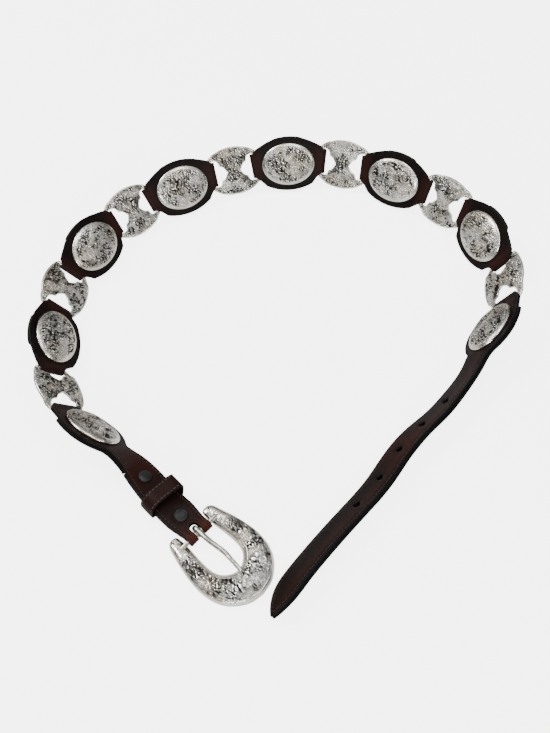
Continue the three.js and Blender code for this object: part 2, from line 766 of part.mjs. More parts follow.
// Clear space in plan between a laid tongue and the circle that the buckle's toe fills
function roomBesideBuckle(frames) {
  const toe = buckleFrame.x.clone().multiplyScalar(buckleLength - buckleBarPlace - buckleWidth / 2).add(buckleFrame.place);
  const away = frames.map((frame) => Math.hypot(frame.place.x - toe.x, frame.place.y - toe.y));
  return Math.min(...away) - buckleWidth / 2 - tongueHalfWidth;
}

// The tongue as laid, or turned away past its pad by as much as a longer buckle end needs
function tongueBesideBuckle() {
  let turn = 0;
  let frames;
  do {
    const rows = tongueLay.map((row) => (row.along > tonguePadShare ? { ...row, heading: row.heading + turn } : row));
    frames = layStrap(rows, tongueLength, lastBar.end, 1);
    turn += 1;
  } while (roomBesideBuckle(frames) < tongueRoom);
  return frames;
}

const strapB = tongueBesideBuckle();
const loopB = loopFrame(lastBar.end, lastBar.frame, frameAt(strapB, loopReach).n, -1);

function tongueHoles(body) {
  let punched = punch(body, frameAt(strapB, padCentre), boreRadius, 8);
  for (let i = 0; i < holeCount; i++) {
    punched = punch(punched, frameAt(strapB, firstHole + i * holePitch), holeRadius, 8);
  }
  return geometryOf(punched);
}

function tongueGeometry() {
  const nearRings = loopRings(loopB, loopMiddle, tabHalfWidth, loopReach, 6, -1, tabNearHalf).slice(0, -2);
  const ease = [
    easeRing(strapB, loopB, loopReach, -1, 0.35, tongueHalf),
    easeRing(strapB, loopB, loopReach + rootEase, -1, 0.8, tongueHalf),
  ];
  const main = strapRings(strapB, loopReach + rootEase * 2, tongueLength - tipLength, tongueStep, 1, tongueHalf);
  const tip = strapRings(strapB, tongueLength - tipLength, tongueLength, tipStep, 1, tongueHalf).slice(1);
  return tongueHoles(solidOf(skin([...nearRings, ...ease, ...main, ...tip])));
}

function tongueLiningGeometry() {
  const main = strapRings(strapB, strapSkewRoom, tongueLength - tipLength, tongueStep, -1, tongueHalf);
  const tip = strapRings(strapB, tongueLength - tipLength, tongueLength, tipStep, -1, tongueHalf).slice(1);
  return tongueHoles(solidOf(skin([...main, ...tip])));
}

addMesh('tongue_strap', tongueGeometry(), faceLeather);
addMesh('tongue_lining', tongueLiningGeometry(), backLeather);
addConcho(8, frameAt(strapB, padCentre));

// The origin is under the middle of the belt, on the surface that it lies on
const bounds = new THREE.Box3().setFromObject(belt, true);
const middle = bounds.getCenter(new THREE.Vector3());
belt.position.set(-middle.x, -middle.y, -bounds.min.z);

export default belt;
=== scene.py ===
import json
import math

import bmesh
import bpy
import numpy as np
from mathutils import Matrix, Vector
from mathutils.geometry import delaunay_2d_cdt

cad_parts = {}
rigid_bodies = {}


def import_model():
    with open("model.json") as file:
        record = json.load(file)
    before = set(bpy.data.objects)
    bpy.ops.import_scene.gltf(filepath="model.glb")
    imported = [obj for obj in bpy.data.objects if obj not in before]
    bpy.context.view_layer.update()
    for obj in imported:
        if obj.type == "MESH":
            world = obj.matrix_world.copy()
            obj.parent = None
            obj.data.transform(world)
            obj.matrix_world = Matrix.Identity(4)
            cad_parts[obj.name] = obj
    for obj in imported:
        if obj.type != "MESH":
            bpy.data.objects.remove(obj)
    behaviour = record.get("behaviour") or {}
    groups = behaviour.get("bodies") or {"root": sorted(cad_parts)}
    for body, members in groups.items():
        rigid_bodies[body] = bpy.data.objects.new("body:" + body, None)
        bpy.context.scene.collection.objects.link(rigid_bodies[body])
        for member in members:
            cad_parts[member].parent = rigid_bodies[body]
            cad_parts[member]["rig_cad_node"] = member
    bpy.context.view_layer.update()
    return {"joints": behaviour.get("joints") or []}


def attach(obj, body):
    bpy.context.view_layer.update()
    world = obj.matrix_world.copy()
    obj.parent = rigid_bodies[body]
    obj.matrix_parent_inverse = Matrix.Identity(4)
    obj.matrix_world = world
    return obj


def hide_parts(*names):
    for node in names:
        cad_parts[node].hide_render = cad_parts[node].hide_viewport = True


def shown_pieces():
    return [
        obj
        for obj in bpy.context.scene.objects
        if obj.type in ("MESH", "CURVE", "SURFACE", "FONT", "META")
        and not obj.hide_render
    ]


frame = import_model()

mm = 0.001
deg = math.pi / 180

# The belt's sizes in millimetres, as its CAD parts have them
belt = {
    "leather": 2.0,
    "layerGap": 0.3,
    "tabHalf": 10.0,
    "padLong": 26.7,
    "padSide": 32.0,
    "padWide": 22.3,
    "loopReach": 5.5,
    "rootEase": 2.5,
    "linkPitch": 56.4,
    "connectorPitch": 37.2,
    "barRadius": 1.0,
    "barGap": 0.35,
    "seatGap": 0.4,
    "edgeGap": 0.4,
}
layerMiddle = (belt["layerGap"] + belt["leather"]) / 2
faceTop = belt["layerGap"] / 2 + belt["leather"]
padCentre = belt["linkPitch"] / 2
loopRadius = belt["barRadius"] + belt["barGap"] + belt["leather"] / 2

# Lay of the chain: plan direction and lean in degrees, of connectors and links by turns
chainLay = [
    (107, 51), (87, 51), (73, 50), (52, 51), (33, 52), (18, 53), (5, 55),
    (-6, 57), (-25, 59), (-39, 60), (-48, 60), (-73, 58), (-99, 55),
]

# Lay of the two straps: share of the length, heading and lean in degrees, height as a share of padWide
buckleStrapLay = [
    (0, 133.1, 52, 0.86), (0.39, 133.1, 52, 0.86), (0.405, 133.1, 52, 0.86), (0.47, 134.4, 45, 0.72),
    (0.54, 127.7, 33, 0.55), (0.62, 123.8, 22, 0.44), (0.7, 125.7, 15, 0.39), (0.82, 130.4, 11, 0.34),
    (0.94, 131.5, 3, 0.25), (1, 130, 0, 0.235),
]
tongueLay = [
    (0, -126.7, 52, 0.86), (0.176, -126.7, 52, 0.86), (0.186, -126.7, 52, 0.86), (0.25, -134.9, 53, 0.56),
    (0.33, -138, 49, 0.435), (0.41, -145.6, 45, 0.415), (0.47, -138.8, 40, 0.39), (0.55, -130.9, 38, 0.38),
    (0.66, -139.4, 40, 0.39), (0.78, -138.5, 40, 0.39), (0.89, -134.8, 40, 0.39), (1, -123.2, 38, 0.37),
]


# Local frame of a piece: x along the belt, y across to its raised edge, n out of the concho side
class LocalFrame:
    def __init__(self, place, x, y):
        self.place = np.array(place, float)
        self.x = np.array(x, float)
        self.y = np.array(y, float)
        self.n = np.cross(self.x, self.y)

    def world(self, points):
        return self.place + np.asarray(points, float) @ np.array([self.x, self.y, self.n])


def unit(v):
    return v / np.linalg.norm(v)


def smooth(value, low, high):
    t = np.clip((value - low) / (high - low), 0, 1)
    return t * t * (3 - 2 * t)


def layFrame(place, heading, lean, slope):
    x = np.array([math.cos(slope) * math.cos(heading), math.cos(slope) * math.sin(heading), math.sin(slope)])
    out = np.array([-math.sin(heading), math.cos(heading), 0])
    return LocalFrame(place, x, out * math.cos(lean) + np.cross(x, out) * math.sin(lean))


def layChain():
    heights = [belt["padWide"] * math.sin(a * deg) + faceTop * math.cos(a * deg) for _, a in chainLay]
    hinge = np.array([0, 0, heights[0]])
    pieces = []
    for i, (heading, lean) in enumerate(chainLay):
        length = belt["linkPitch"] if i % 2 else belt["connectorPitch"]
        following = heights[min(i + 1, len(heights) - 1)]
        rise = (heights[i] + following) / 2 - hinge[2]
        piece = layFrame(hinge, heading * deg, lean * deg, math.asin(rise / length))
        piece.start = hinge.copy()
        hinge = hinge + piece.x * length
        piece.end = hinge.copy()
        piece.place = (piece.start + piece.end) / 2
        pieces.append(piece)
    return pieces


# Smooth reading between the rows of a strap's lay
def readLay(rows, share):
    rows = np.array(rows, float)
    places = rows[:, 0]
    if share >= places[-1]:
        return rows[-1, 1:]
    i = max(1, int(np.searchsorted(places, share, side="right")))
    t0, t1 = places[i - 1], places[i]
    before = (places[i - 2], i - 2) if i > 1 else (2 * t0 - t1, i)
    after = (places[i + 1], i + 1) if i + 1 < len(places) else (2 * t1 - t0, i - 1)
    wp = (t1 - t0) / 2 / (t0 - before[0])
    wn = (t1 - t0) / 2 / (after[0] - t1)
    p = (share - t0) / (t1 - t0)
    weights = [
        (before[1], -wp * p**3 + 2 * wp * p**2 - wp * p),
        (i - 1, (1 + wp) * p**3 + (-1.5 - 2 * wp) * p**2 + (-0.5 + wp) * p + 1),
        (i, (-1 - wn) * p**3 + (1.5 + wn) * p**2 + 0.5 * p),
        (after[1], wn * p**3 - wn * p**2),
    ]
    return sum(rows[row, 1:] * weight for row, weight in weights)


# Frames along a strap from its bar. Sign is -1 where the strap runs against the belt's x.
def layStrap(rows, length, start, sign):
    step = 2
    steps = round(length / step)
    plan = start.copy()
    frames = []
    shift = start[2] - readLay(rows, 0)[2] * belt["padWide"]
    for i in range(steps + 1):
        distance = length * i / steps
        heading, lean, height = readLay(rows, distance / length)
        ahead = readLay(rows, min(1, (distance + step) / length))[2]
        plan[2] = height * belt["padWide"] + shift * (1 - distance / length)
        slope = math.asin(max(-0.5, min(0.5, (ahead - height) * belt["padWide"] / step))) * sign
        frames.append((distance, layFrame(plan, heading * deg, lean * deg, slope)))
        advance = sign * length / steps * math.cos(slope)
        plan = plan + advance * np.array([math.cos(heading * deg), math.sin(heading * deg), 0])
    return frames


def frameAt(frames, distance):
    distances = [row[0] for row in frames]
    i = min(len(frames) - 1, max(1, int(np.searchsorted(distances, distance - 1e-9))))
    (low, a), (high, b) = frames[i - 1], frames[i]
    mix = (distance - low) / (high - low)
    x = unit(a.x + (b.x - a.x) * mix)
    y = a.y + (b.y - a.y) * mix
    return LocalFrame(a.place + (b.place - a.place) * mix, x, unit(y - x * (x @ y)))


# Frame of a leather loop on a bar: y on the bar, x away from the leather that owns the loop
def loopFrame(place, barFrame, ownerNormal, outward):
    y = barFrame.y * outward
    n = unit(ownerNormal - y * (ownerNormal @ y))
    return LocalFrame(place, np.cross(y, n), y)


buckleStrap = {
    "length": 136.5, "half": 11.4, "foldHalf": 9.7, "flap": 66, "foldReach": 7, "slotHalf": 2.8,
    "slotBack": 8.5, "narrowFrom": 0.86, "narrowTo": 0.97, "stitchFrom": 60, "stitchEnd": 2,
}
tongueStrap = {
    "length": 287, "half": 10.6, "tip": 24, "firstHole": 95, "holePitch": 25, "holes": 5, "holeRadius": 2.3,
    "stitchFrom": 62, "stitchEnd": 12, "pressDepth": 0.3, "pressReach": 1.6,
}

chain = layChain()
strapA = layStrap(buckleStrapLay, buckleStrap["length"], chain[0].start, -1)
strapB = layStrap(tongueLay, tongueStrap["length"], chain[-1].end, 1)

# The buckle's hinge in the frame says where all of this stands
hingePlace = np.array(frame["joints"][0]["pos_m"]) / mm
toFrame = hingePlace - strapA[-1][1].place
for piece in chain:
    for part in (piece.place, piece.start, piece.end):
        part += toFrame
for _, station in strapA + strapB:
    station.place += toFrame
buckleEnd = strapA[-1][1]
buckleFrame = LocalFrame(buckleEnd.place, -buckleEnd.x, -buckleEnd.y)
connectors = chain[0::2]
links = chain[1::2]
concho1 = frameAt(strapA, padCentre)
concho8 = frameAt(strapB, padCentre)
conchoFrames = [concho1] + links + [concho8]
print("stage: lay of the belt, concho 4 at", np.round(conchoFrames[3].place, 2))


# Camera: the photograph's view from above, a little turned. Its place is measured from the first connector's
# bar, and angles are in degrees.
camera = {
    "place": (159.944, -320.962, 534.052),
    "elevation": 57.26,
    "azimuth": 1.18,
    "roll": -9.17,
    "focalPixels": 850,
    "imageHeight": 733,
    "sensor": 36,
    "clip": (0.01, 10),
}


def addCamera():
    e, a, roll = (camera[key] * deg for key in ("elevation", "azimuth", "roll"))
    forward = np.array([-math.sin(a) * math.cos(e), math.cos(a) * math.cos(e), -math.sin(e)])
    level = np.array([math.cos(a), math.sin(a), 0])
    above = np.cross(level, forward)
    right = math.cos(roll) * level + math.sin(roll) * above
    up = -math.sin(roll) * level + math.cos(roll) * above
    data = bpy.data.cameras.new("camera")
    data.sensor_width = camera["sensor"]
    data.lens = camera["sensor"] * camera["focalPixels"] / camera["imageHeight"]
    data.clip_start, data.clip_end = camera["clip"]
    obj = bpy.data.objects.new("camera", data)
    bpy.context.scene.collection.objects.link(obj)
    matrix = Matrix.Identity(4)
    for column, axis in enumerate((right, up, -forward)):
        for row in range(3):
            matrix[row][column] = axis[row]
    matrix.translation = Vector(np.array(camera["place"]) + toFrame) * mm
    obj.matrix_world = matrix
    bpy.context.scene.camera = obj


addCamera()


# Material building
def nodeOf(tree, kind, place=(0, 0), **values):
    node = tree.nodes.new(kind)
    node.location = place
    for name, value in values.items():
        setattr(node, name, value)
    return node


def groupWith(name, inputs, outputs):
    tree = bpy.data.node_groups.new(name, "ShaderNodeTree")
    for label, kind, value in inputs:
        socket = tree.interface.new_socket(name=label, in_out="INPUT", socket_type=kind)
        if value is not None:
            socket.default_value = value
    for label, kind in outputs:
        tree.interface.new_socket(name=label, in_out="OUTPUT", socket_type=kind)
    return tree, nodeOf(tree, "NodeGroupInput", (-900, 0)), nodeOf(tree, "NodeGroupOutput", (900, 0))


def mathNode(tree, operation, a, b=None, place=(0, 0), clamp=False):
    node = nodeOf(tree, "ShaderNodeMath", place, operation=operation, use_clamp=clamp)
    for socket, value in zip(node.inputs, (a, b)):
        if value is None:
            continue
        if isinstance(value, (int, float)):
            socket.default_value = value
        else:
            tree.links.new(value, socket)
    return node.outputs[0]


def mixColor(tree, factor, a, b, place=(0, 0)):
    node = nodeOf(tree, "ShaderNodeMix", place, data_type="RGBA")
    for socket, value in ((node.inputs[0], factor), (node.inputs[6], a), (node.inputs[7], b)):
        if isinstance(value, (int, float)):
            socket.default_value = value
        elif isinstance(value, tuple):
            socket.default_value = (*value, 1)
        else:
            tree.links.new(value, socket)
    return node.outputs[2]


# A value with a share of another added
def addShare(tree, base, extra, share, clamp=False):
    return mathNode(tree, "ADD", base, mathNode(tree, "MULTIPLY", extra, share), clamp=clamp)


# A color laid over another by a share of a mask
def layOver(tree, color, mask, share, over):
    return mixColor(tree, mathNode(tree, "MULTIPLY", mask, share), color, over)


def noise(tree, vector, scale, detail, rough, place=(0, 0)):
    node = nodeOf(tree, "ShaderNodeTexNoise", place)
    node.inputs["Scale"].default_value = scale
    node.inputs["Detail"].default_value = detail
    node.inputs["Roughness"].default_value = rough
    tree.links.new(vector, node.inputs["Vector"])
    return node.outputs["Fac"]


def ramp(tree, value, low, high, place=(0, 0)):
    node = nodeOf(tree, "ShaderNodeMapRange", place)
    node.inputs["From Min"].default_value = low
    node.inputs["From Max"].default_value = high
    node.interpolation_type = "SMOOTHSTEP"
    tree.links.new(value, node.inputs["Value"])
    return node.outputs["Result"]


# Leather grain: fine pebbles between creases, with slow drifts of dye
def grainGroup():
    tree, start, end = groupWith(
        "Leather Grain",
        [("Vector", "NodeSocketVector", None), ("Pebble Scale", "NodeSocketFloat", 900.0)],
        [("Height", "NodeSocketFloat"), ("Drift", "NodeSocketFloat"), ("Pores", "NodeSocketFloat")],
    )
    vector = start.outputs["Vector"]
    cells = nodeOf(tree, "ShaderNodeTexVoronoi", (-500, 200), feature="DISTANCE_TO_EDGE")
    tree.links.new(vector, cells.inputs["Vector"])
    tree.links.new(start.outputs["Pebble Scale"], cells.inputs["Scale"])
    creases = ramp(tree, cells.outputs["Distance"], 0.0, 0.22, (-250, 200))
    fine = noise(tree, vector, 2600, 3, 0.6, (-500, -60))
    broad = noise(tree, vector, 38, 4, 0.55, (-500, -300))
    wrinkle = noise(tree, vector, 210, 4, 0.6, (-500, -520))
    height = addShare(tree, mathNode(tree, "MULTIPLY", creases, 0.6), fine, 0.4)
    height = addShare(tree, height, wrinkle, 0.9)
    tree.links.new(height, end.inputs["Height"])
    tree.links.new(ramp(tree, broad, 0.3, 0.72, (100, -300)), end.inputs["Drift"])
    tree.links.new(mathNode(tree, "SUBTRACT", 1.0, creases), end.inputs["Pores"])
    return tree


# Wear: where a surface is handled, by noise and by how far it stands out
def wearGroup():
    tree, start, end = groupWith(
        "Handling Wear",
        [("Vector", "NodeSocketVector", None), ("Amount", "NodeSocketFloat", 0.5)],
        [("Mask", "NodeSocketFloat"), ("Scratches", "NodeSocketFloat")],
    )
    vector = start.outputs["Vector"]
    broad = noise(tree, vector, 90, 5, 0.65, (-500, 0))
    stretched = nodeOf(tree, "ShaderNodeMapping", (-700, -300))
    stretched.inputs["Scale"].default_value = (1, 6, 2.5)
    stretched.inputs["Rotation"].default_value = (0.4, 0.7, 0.9)
    tree.links.new(vector, stretched.inputs["Vector"])
    lines = noise(tree, stretched.outputs["Vector"], 700, 2, 0.5, (-500, -300))
    pointiness = nodeOf(tree, "ShaderNodeNewGeometry", (-500, 300)).outputs["Pointiness"]
    proud = ramp(tree, pointiness, 0.5, 0.6, (-250, 300))
    worn = mathNode(tree, "MULTIPLY", ramp(tree, broad, 0.42, 0.75, (-250, 0)), start.outputs["Amount"])
    tree.links.new(addShare(tree, worn, proud, 0.5, clamp=True), end.inputs["Mask"])
    tree.links.new(ramp(tree, lines, 0.56, 0.66, (-250, -300)), end.inputs["Scratches"])
    return tree


# Antiquing: dark left in the engraving, silver rubbed bright on what stands up
def antiqueGroup():
    tree, start, end = groupWith(
        "Antiquing",
        [
            ("Vector", "NodeSocketVector", None),
            ("Recess", "NodeSocketFloat", 0.0),
            ("Cut", "NodeSocketFloat", 0.0),
            ("Bright", "NodeSocketColor", (0.8, 0.78, 0.74, 1)),
            ("Dark", "NodeSocketColor", (0.04, 0.035, 0.03, 1)),
            ("Depth", "NodeSocketFloat", 1.0),
        ],
        [("Color", "NodeSocketColor"), ("Mask", "NodeSocketFloat"), ("Height", "NodeSocketFloat")],
    )
    vector = start.outputs["Vector"]
    patches = ramp(tree, noise(tree, vector, 110, 3, 0.6, (-500, 200)), 0.35, 0.65, (-250, 200))
    stipple = noise(tree, vector, 2400, 2, 0.5, (-500, 0))
    tone = noise(tree, vector, 45, 3, 0.5, (-500, -200))
    share = addShare(tree, 0.3, patches, 0.7)
    sweeps = []
    for bands, scale, low, high in (("DIAGONAL", 190, 0.08, 0.55), ("X", 125, 0.02, 0.3)):
        wave = nodeOf(tree, "ShaderNodeTexWave", (-500, -500), bands_direction=bands)
        wave.inputs["Scale"].default_value = scale
        wave.inputs["Distortion"].default_value = 14
        wave.inputs["Detail"].default_value = 2
        wave.inputs["Detail Scale"].default_value = 0.9
        tree.links.new(vector, wave.inputs["Vector"])
        between = ramp(tree, wave.outputs["Fac"], low, high, (-250, -500))
        sweeps.append(mathNode(tree, "SUBTRACT", 1.0, between))
    lines = mathNode(tree, "MAXIMUM", *sweeps)
    lines = mathNode(tree, "MULTIPLY", lines, start.outputs["Cut"])
    deep = mathNode(tree, "MAXIMUM", start.outputs["Recess"], mathNode(tree, "MULTIPLY", lines, 0.95))
    mask = mathNode(tree, "MULTIPLY", deep, share)
    mask = mathNode(tree, "MULTIPLY", mask, start.outputs["Depth"], clamp=True)
    tarnish = ramp(tree, tone, 0.35, 0.7, (-100, -200))
    warm = mixColor(tree, tarnish, start.outputs["Bright"], (0.8, 0.73, 0.62))
    tree.links.new(mixColor(tree, mask, warm, start.outputs["Dark"], (400, 0)), end.inputs["Color"])
    tree.links.new(mask, end.inputs["Mask"])
    low = mathNode(tree, "MULTIPLY", stipple, start.outputs["Recess"])
    tree.links.new(mathNode(tree, "SUBTRACT", low, lines), end.inputs["Height"])
    return tree


leatherGrain = grainGroup()
handlingWear = wearGroup()
antiquing = antiqueGroup()


def newMaterial(name):
    material = bpy.data.materials.new(name)
    material.use_nodes = True
    tree = material.node_tree
    shader = tree.nodes["Principled BSDF"]
    place = nodeOf(tree, "ShaderNodeTexCoord", (-1200, 0)).outputs["Object"]
    return material, tree, shader, place


def groupNode(tree, group, place, **values):
    node = nodeOf(tree, "ShaderNodeGroup", place, node_tree=group)
    for name, value in values.items():
        socket = node.inputs[name.replace("_", " ")]
        if isinstance(value, (int, float)):
            socket.default_value = value
        elif isinstance(value, tuple):
            socket.default_value = (*value, 1)
        else:
            tree.links.new(value, socket)
    return node


def attribute(tree, name, place):
    return nodeOf(tree, "ShaderNodeAttribute", place, attribute_name=name).outputs["Fac"]


def bump(tree, shader, height, distance, strength, place=(300, -400)):
    node = nodeOf(tree, "ShaderNodeBump", place)
    node.inputs["Distance"].default_value = distance
    node.inputs["Strength"].default_value = strength
    tree.links.new(height, node.inputs["Height"])
    tree.links.new(node.outputs["Normal"], shader.inputs["Normal"])


def leatherMaterial(name, dark, warm, edgeColor, roughness):
    material, tree, shader, place = newMaterial(name)
    grain = groupNode(tree, leatherGrain, (-800, 200), Vector=place)
    wear = groupNode(tree, handlingWear, (-800, -200), Vector=place, Amount=0.35)
    edge = attribute(tree, "edge", (-800, -500))
    groove = attribute(tree, "groove", (-800, -700))
    dyed = mixColor(tree, grain.outputs["Drift"], dark, warm, (-300, 300))
    # Reddish tint from the warm mask: partly the leather's own worn reddish colour, partly a painted
    # highlight on the rounded folds round the bars
    warmTintAndPaintedFoldHighlight = attribute(tree, "warm", (-800, -900))
    dyed = mixColor(tree, warmTintAndPaintedFoldHighlight, dyed, (0.07, 0.014, 0.007), (-200, 200))
    pored = layOver(tree, dyed, grain.outputs["Pores"], 0.45, (0.0015, 0.001, 0.001))
    rubbed = layOver(tree, pored, wear.outputs["Mask"], 0.22, (0.03, 0.018, 0.015))
    grooved = layOver(tree, rubbed, groove, 0.7, (0.0015, 0.001, 0.001))
    edged = mixColor(tree, edge, grooved, edgeColor, (200, 200))
    tree.links.new(edged, shader.inputs["Base Color"])
    rough = addShare(tree, roughness, grain.outputs["Pores"], 0.16)
    rough = addShare(tree, rough, edge, -0.08)
    rough = addShare(tree, rough, wear.outputs["Scratches"], 0.08, clamp=True)
    tree.links.new(rough, shader.inputs["Roughness"])
    shader.inputs["Specular IOR Level"].default_value = 0.1
    shader.inputs["Coat Weight"].default_value = 0.015
    shader.inputs["Coat Roughness"].default_value = 0.35
    bump(tree, shader, grain.outputs["Height"], 0.00012, 0.5)
    return material


def silverMaterial(name, bright, roughness, depth):
    material, tree, shader, place = newMaterial(name)
    recess = attribute(tree, "recess", (-1000, -300))
    cut = attribute(tree, "cut", (-1000, -450))
    antique = groupNode(
        tree, antiquing, (-700, 200), Vector=place, Recess=recess, Cut=cut, Bright=bright,
        Dark=(0.005, 0.0045, 0.004), Depth=depth,
    )
    wear = groupNode(tree, handlingWear, (-700, -300), Vector=place, Amount=0.4)
    tree.links.new(antique.outputs["Color"], shader.inputs["Base Color"])
    tree.links.new(addShare(tree, 1.0, antique.outputs["Mask"], -0.25), shader.inputs["Metallic"])
    rough = addShare(tree, roughness, antique.outputs["Mask"], 0.3)
    rough = addShare(tree, rough, wear.outputs["Mask"], 0.08)
    rough = addShare(tree, rough, wear.outputs["Scratches"], 0.1, clamp=True)
    tree.links.new(rough, shader.inputs["Roughness"])
    height = addShare(tree, antique.outputs["Height"], wear.outputs["Scratches"], -0.12)
    bump(tree, shader, height, 0.0003, 0.75)
    return material


def gunmetalMaterial():
    material, tree, shader, place = newMaterial("gunmetal")
    wear = groupNode(tree, handlingWear, (-700, -300), Vector=place, Amount=0.6)
    cast = noise(tree, place, 1500, 3, 0.6, (-700, 100))
    color = mixColor(tree, wear.outputs["Mask"], (0.012, 0.0125, 0.014), (0.06, 0.06, 0.062), (-300, 200))
    tree.links.new(color, shader.inputs["Base Color"])
    shader.inputs["Metallic"].default_value = 0.6
    tree.links.new(addShare(tree, 0.45, cast, 0.2), shader.inputs["Roughness"])
    bump(tree, shader, cast, 0.00005, 0.4)
    return material


def threadMaterial(name, dark, light):
    material, tree, shader, place = newMaterial(name)
    twist = nodeOf(tree, "ShaderNodeTexWave", (-700, 0), bands_direction="DIAGONAL")
    twist.inputs["Scale"].default_value = 900
    tree.links.new(place, twist.inputs["Vector"])
    shade = noise(tree, place, 300, 2, 0.5, (-700, -300))
    color = mixColor(tree, twist.outputs["Fac"], dark, light, (-300, 200))
    color = layOver(tree, color, shade, 0.5, dark)
    tree.links.new(color, shader.inputs["Base Color"])
    shader.inputs["Roughness"].default_value = 0.6
    bump(tree, shader, twist.outputs["Fac"], 0.00006, 0.5)
    return material


edgeDye = (0.0015, 0.0012, 0.0012)
faceLeather = leatherMaterial("face_leather", (0.003, 0.0018, 0.0016), (0.008, 0.0035, 0.0028), edgeDye, 0.45)
backLeather = leatherMaterial("back_leather", (0.003, 0.002, 0.0018), (0.007, 0.004, 0.003), edgeDye, 0.55)
silver = silverMaterial("silver", (0.96, 0.94, 0.89), 0.17, 1.5)
buckleSilver = silverMaterial("buckle_silver", (0.96, 0.945, 0.9), 0.12, 1.5)
gunmetal = gunmetalMaterial()
thread = threadMaterial("thread", (0.01, 0.004, 0.003), (0.04, 0.014, 0.01))
keeperThread = threadMaterial("keeper_thread", (0.03, 0.015, 0.012), (0.12, 0.065, 0.05))
print("stage: materials")


# Mesh building
def addPiece(name, verts, faces, material, body, slot, replaced=(), **masks):
    mesh = bpy.data.meshes.new(name)
    mesh.from_pydata((np.asarray(verts) * mm).tolist(), [], faces)
    for mask, values in masks.items():
        mesh.attributes.new(mask, "FLOAT", "POINT").data.foreach_set("value", np.asarray(values, np.float32))
    mesh.polygons.foreach_set("use_smooth", [True] * len(mesh.polygons))
    mesh.materials.append(material)
    mesh.validate()
    obj = bpy.data.objects.new(name, mesh)
    bpy.context.scene.collection.objects.link(obj)
    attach(obj, body)
    if replaced:
        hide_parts(*replaced)
    return obj


def resample(points, spacing, closed=True):
    points = np.asarray(points, float)
    if closed:
        points = np.vstack([points, points[:1]])
    steps = np.linalg.norm(np.diff(points, axis=0), axis=1)
    along = np.concatenate([[0], np.cumsum(steps)])
    count = max(8, int(round(along[-1] / spacing)))
    marks = np.linspace(0, along[-1], count + 1)
    if closed:
        marks = marks[:-1]
    return np.column_stack([np.interp(marks, along, points[:, k]) for k in range(points.shape[1])])


# Smooth curve through given points
def throughPoints(points, perSpan=8):
    points = np.asarray(points, float)
    points = np.vstack([2 * points[0] - points[1], points, 2 * points[-1] - points[-2]])
    rows = []
    for i in range(1, len(points) - 2):
        p0, p1, p2, p3 = points[i - 1 : i + 3]
        for t in np.arange(perSpan) / perSpan:
            twice = 2 * p1 + (p2 - p0) * t + (2 * p0 - 5 * p1 + 4 * p2 - p3) * t**2
            rows.append(0.5 * (twice + (3 * p1 - p0 - 3 * p2 + p3) * t**3))
    return np.array(rows + [points[-2]])


# Unit direction of a line at each of its points
def directions(line):
    ahead = np.gradient(line, axis=0)
    return ahead / np.linalg.norm(ahead, axis=1, keepdims=True)


# 1 on a line at some value, fading to both sides
def ridge(value, middle, width):
    return np.exp(-(((value - middle) / width) ** 2))


# A mask of a sheet's points, with one value for the rest of the piece
def padded(mask, count, rest=0.0):
    return np.concatenate([mask, np.full(count - len(mask), rest)])


# Faces of a closed tube made of rings
def tubeFaces(rings, sides, base=0):
    faces = []
    for i in range(rings - 1):
        for k in range(sides):
            a, b = base + i * sides + k, base + i * sides + (k + 1) % sides
            faces.append((a, b, b + sides, a + sides))
    faces.append(tuple(base + k for k in reversed(range(sides))))
    faces.append(tuple(base + (rings - 1) * sides + k for k in range(sides)))
    return faces


# Distance from each point to a polyline
def distanceTo(points, line, closed=True):
    starts = line if closed else line[:-1]
    ends = np.roll(line, -1, axis=0) if closed else line[1:]
    best = np.full(len(points), 1e9)
    for a, b in zip(starts, ends):
        edge = b - a
        t = np.clip(((points - a) @ edge) / max(edge @ edge, 1e-12), 0, 1)
        gap = points - a - t[:, None] * edge
        best = np.minimum(best, np.einsum("ij,ij->i", gap, gap))
    return np.sqrt(best)


def insideOf(points, polygon):
    inside = np.zeros(len(points), bool)
    x, y = points[:, 0], points[:, 1]
    for (ax, ay), (bx, by) in zip(polygon, np.roll(polygon, -1, axis=0)):
        crosses = (ay > y) != (by > y)
        if crosses.any():
            at = ax + (y - ay) * (bx - ax) / (by - ay if by != ay else 1e-12)
            inside ^= crosses & (x < at)
    return inside


def inwardRing(polygon, offset):
    ahead = np.roll(polygon, -1, axis=0) - np.roll(polygon, 1, axis=0)
    normal = np.column_stack([-ahead[:, 1], ahead[:, 0]])
    normal /= np.maximum(np.linalg.norm(normal, axis=1, keepdims=True), 1e-9)
    area = np.sum(polygon[:, 0] * np.roll(polygon[:, 1], -1) - np.roll(polygon[:, 0], -1) * polygon[:, 1])
    return polygon + normal * offset * (1 if area > 0 else -1)


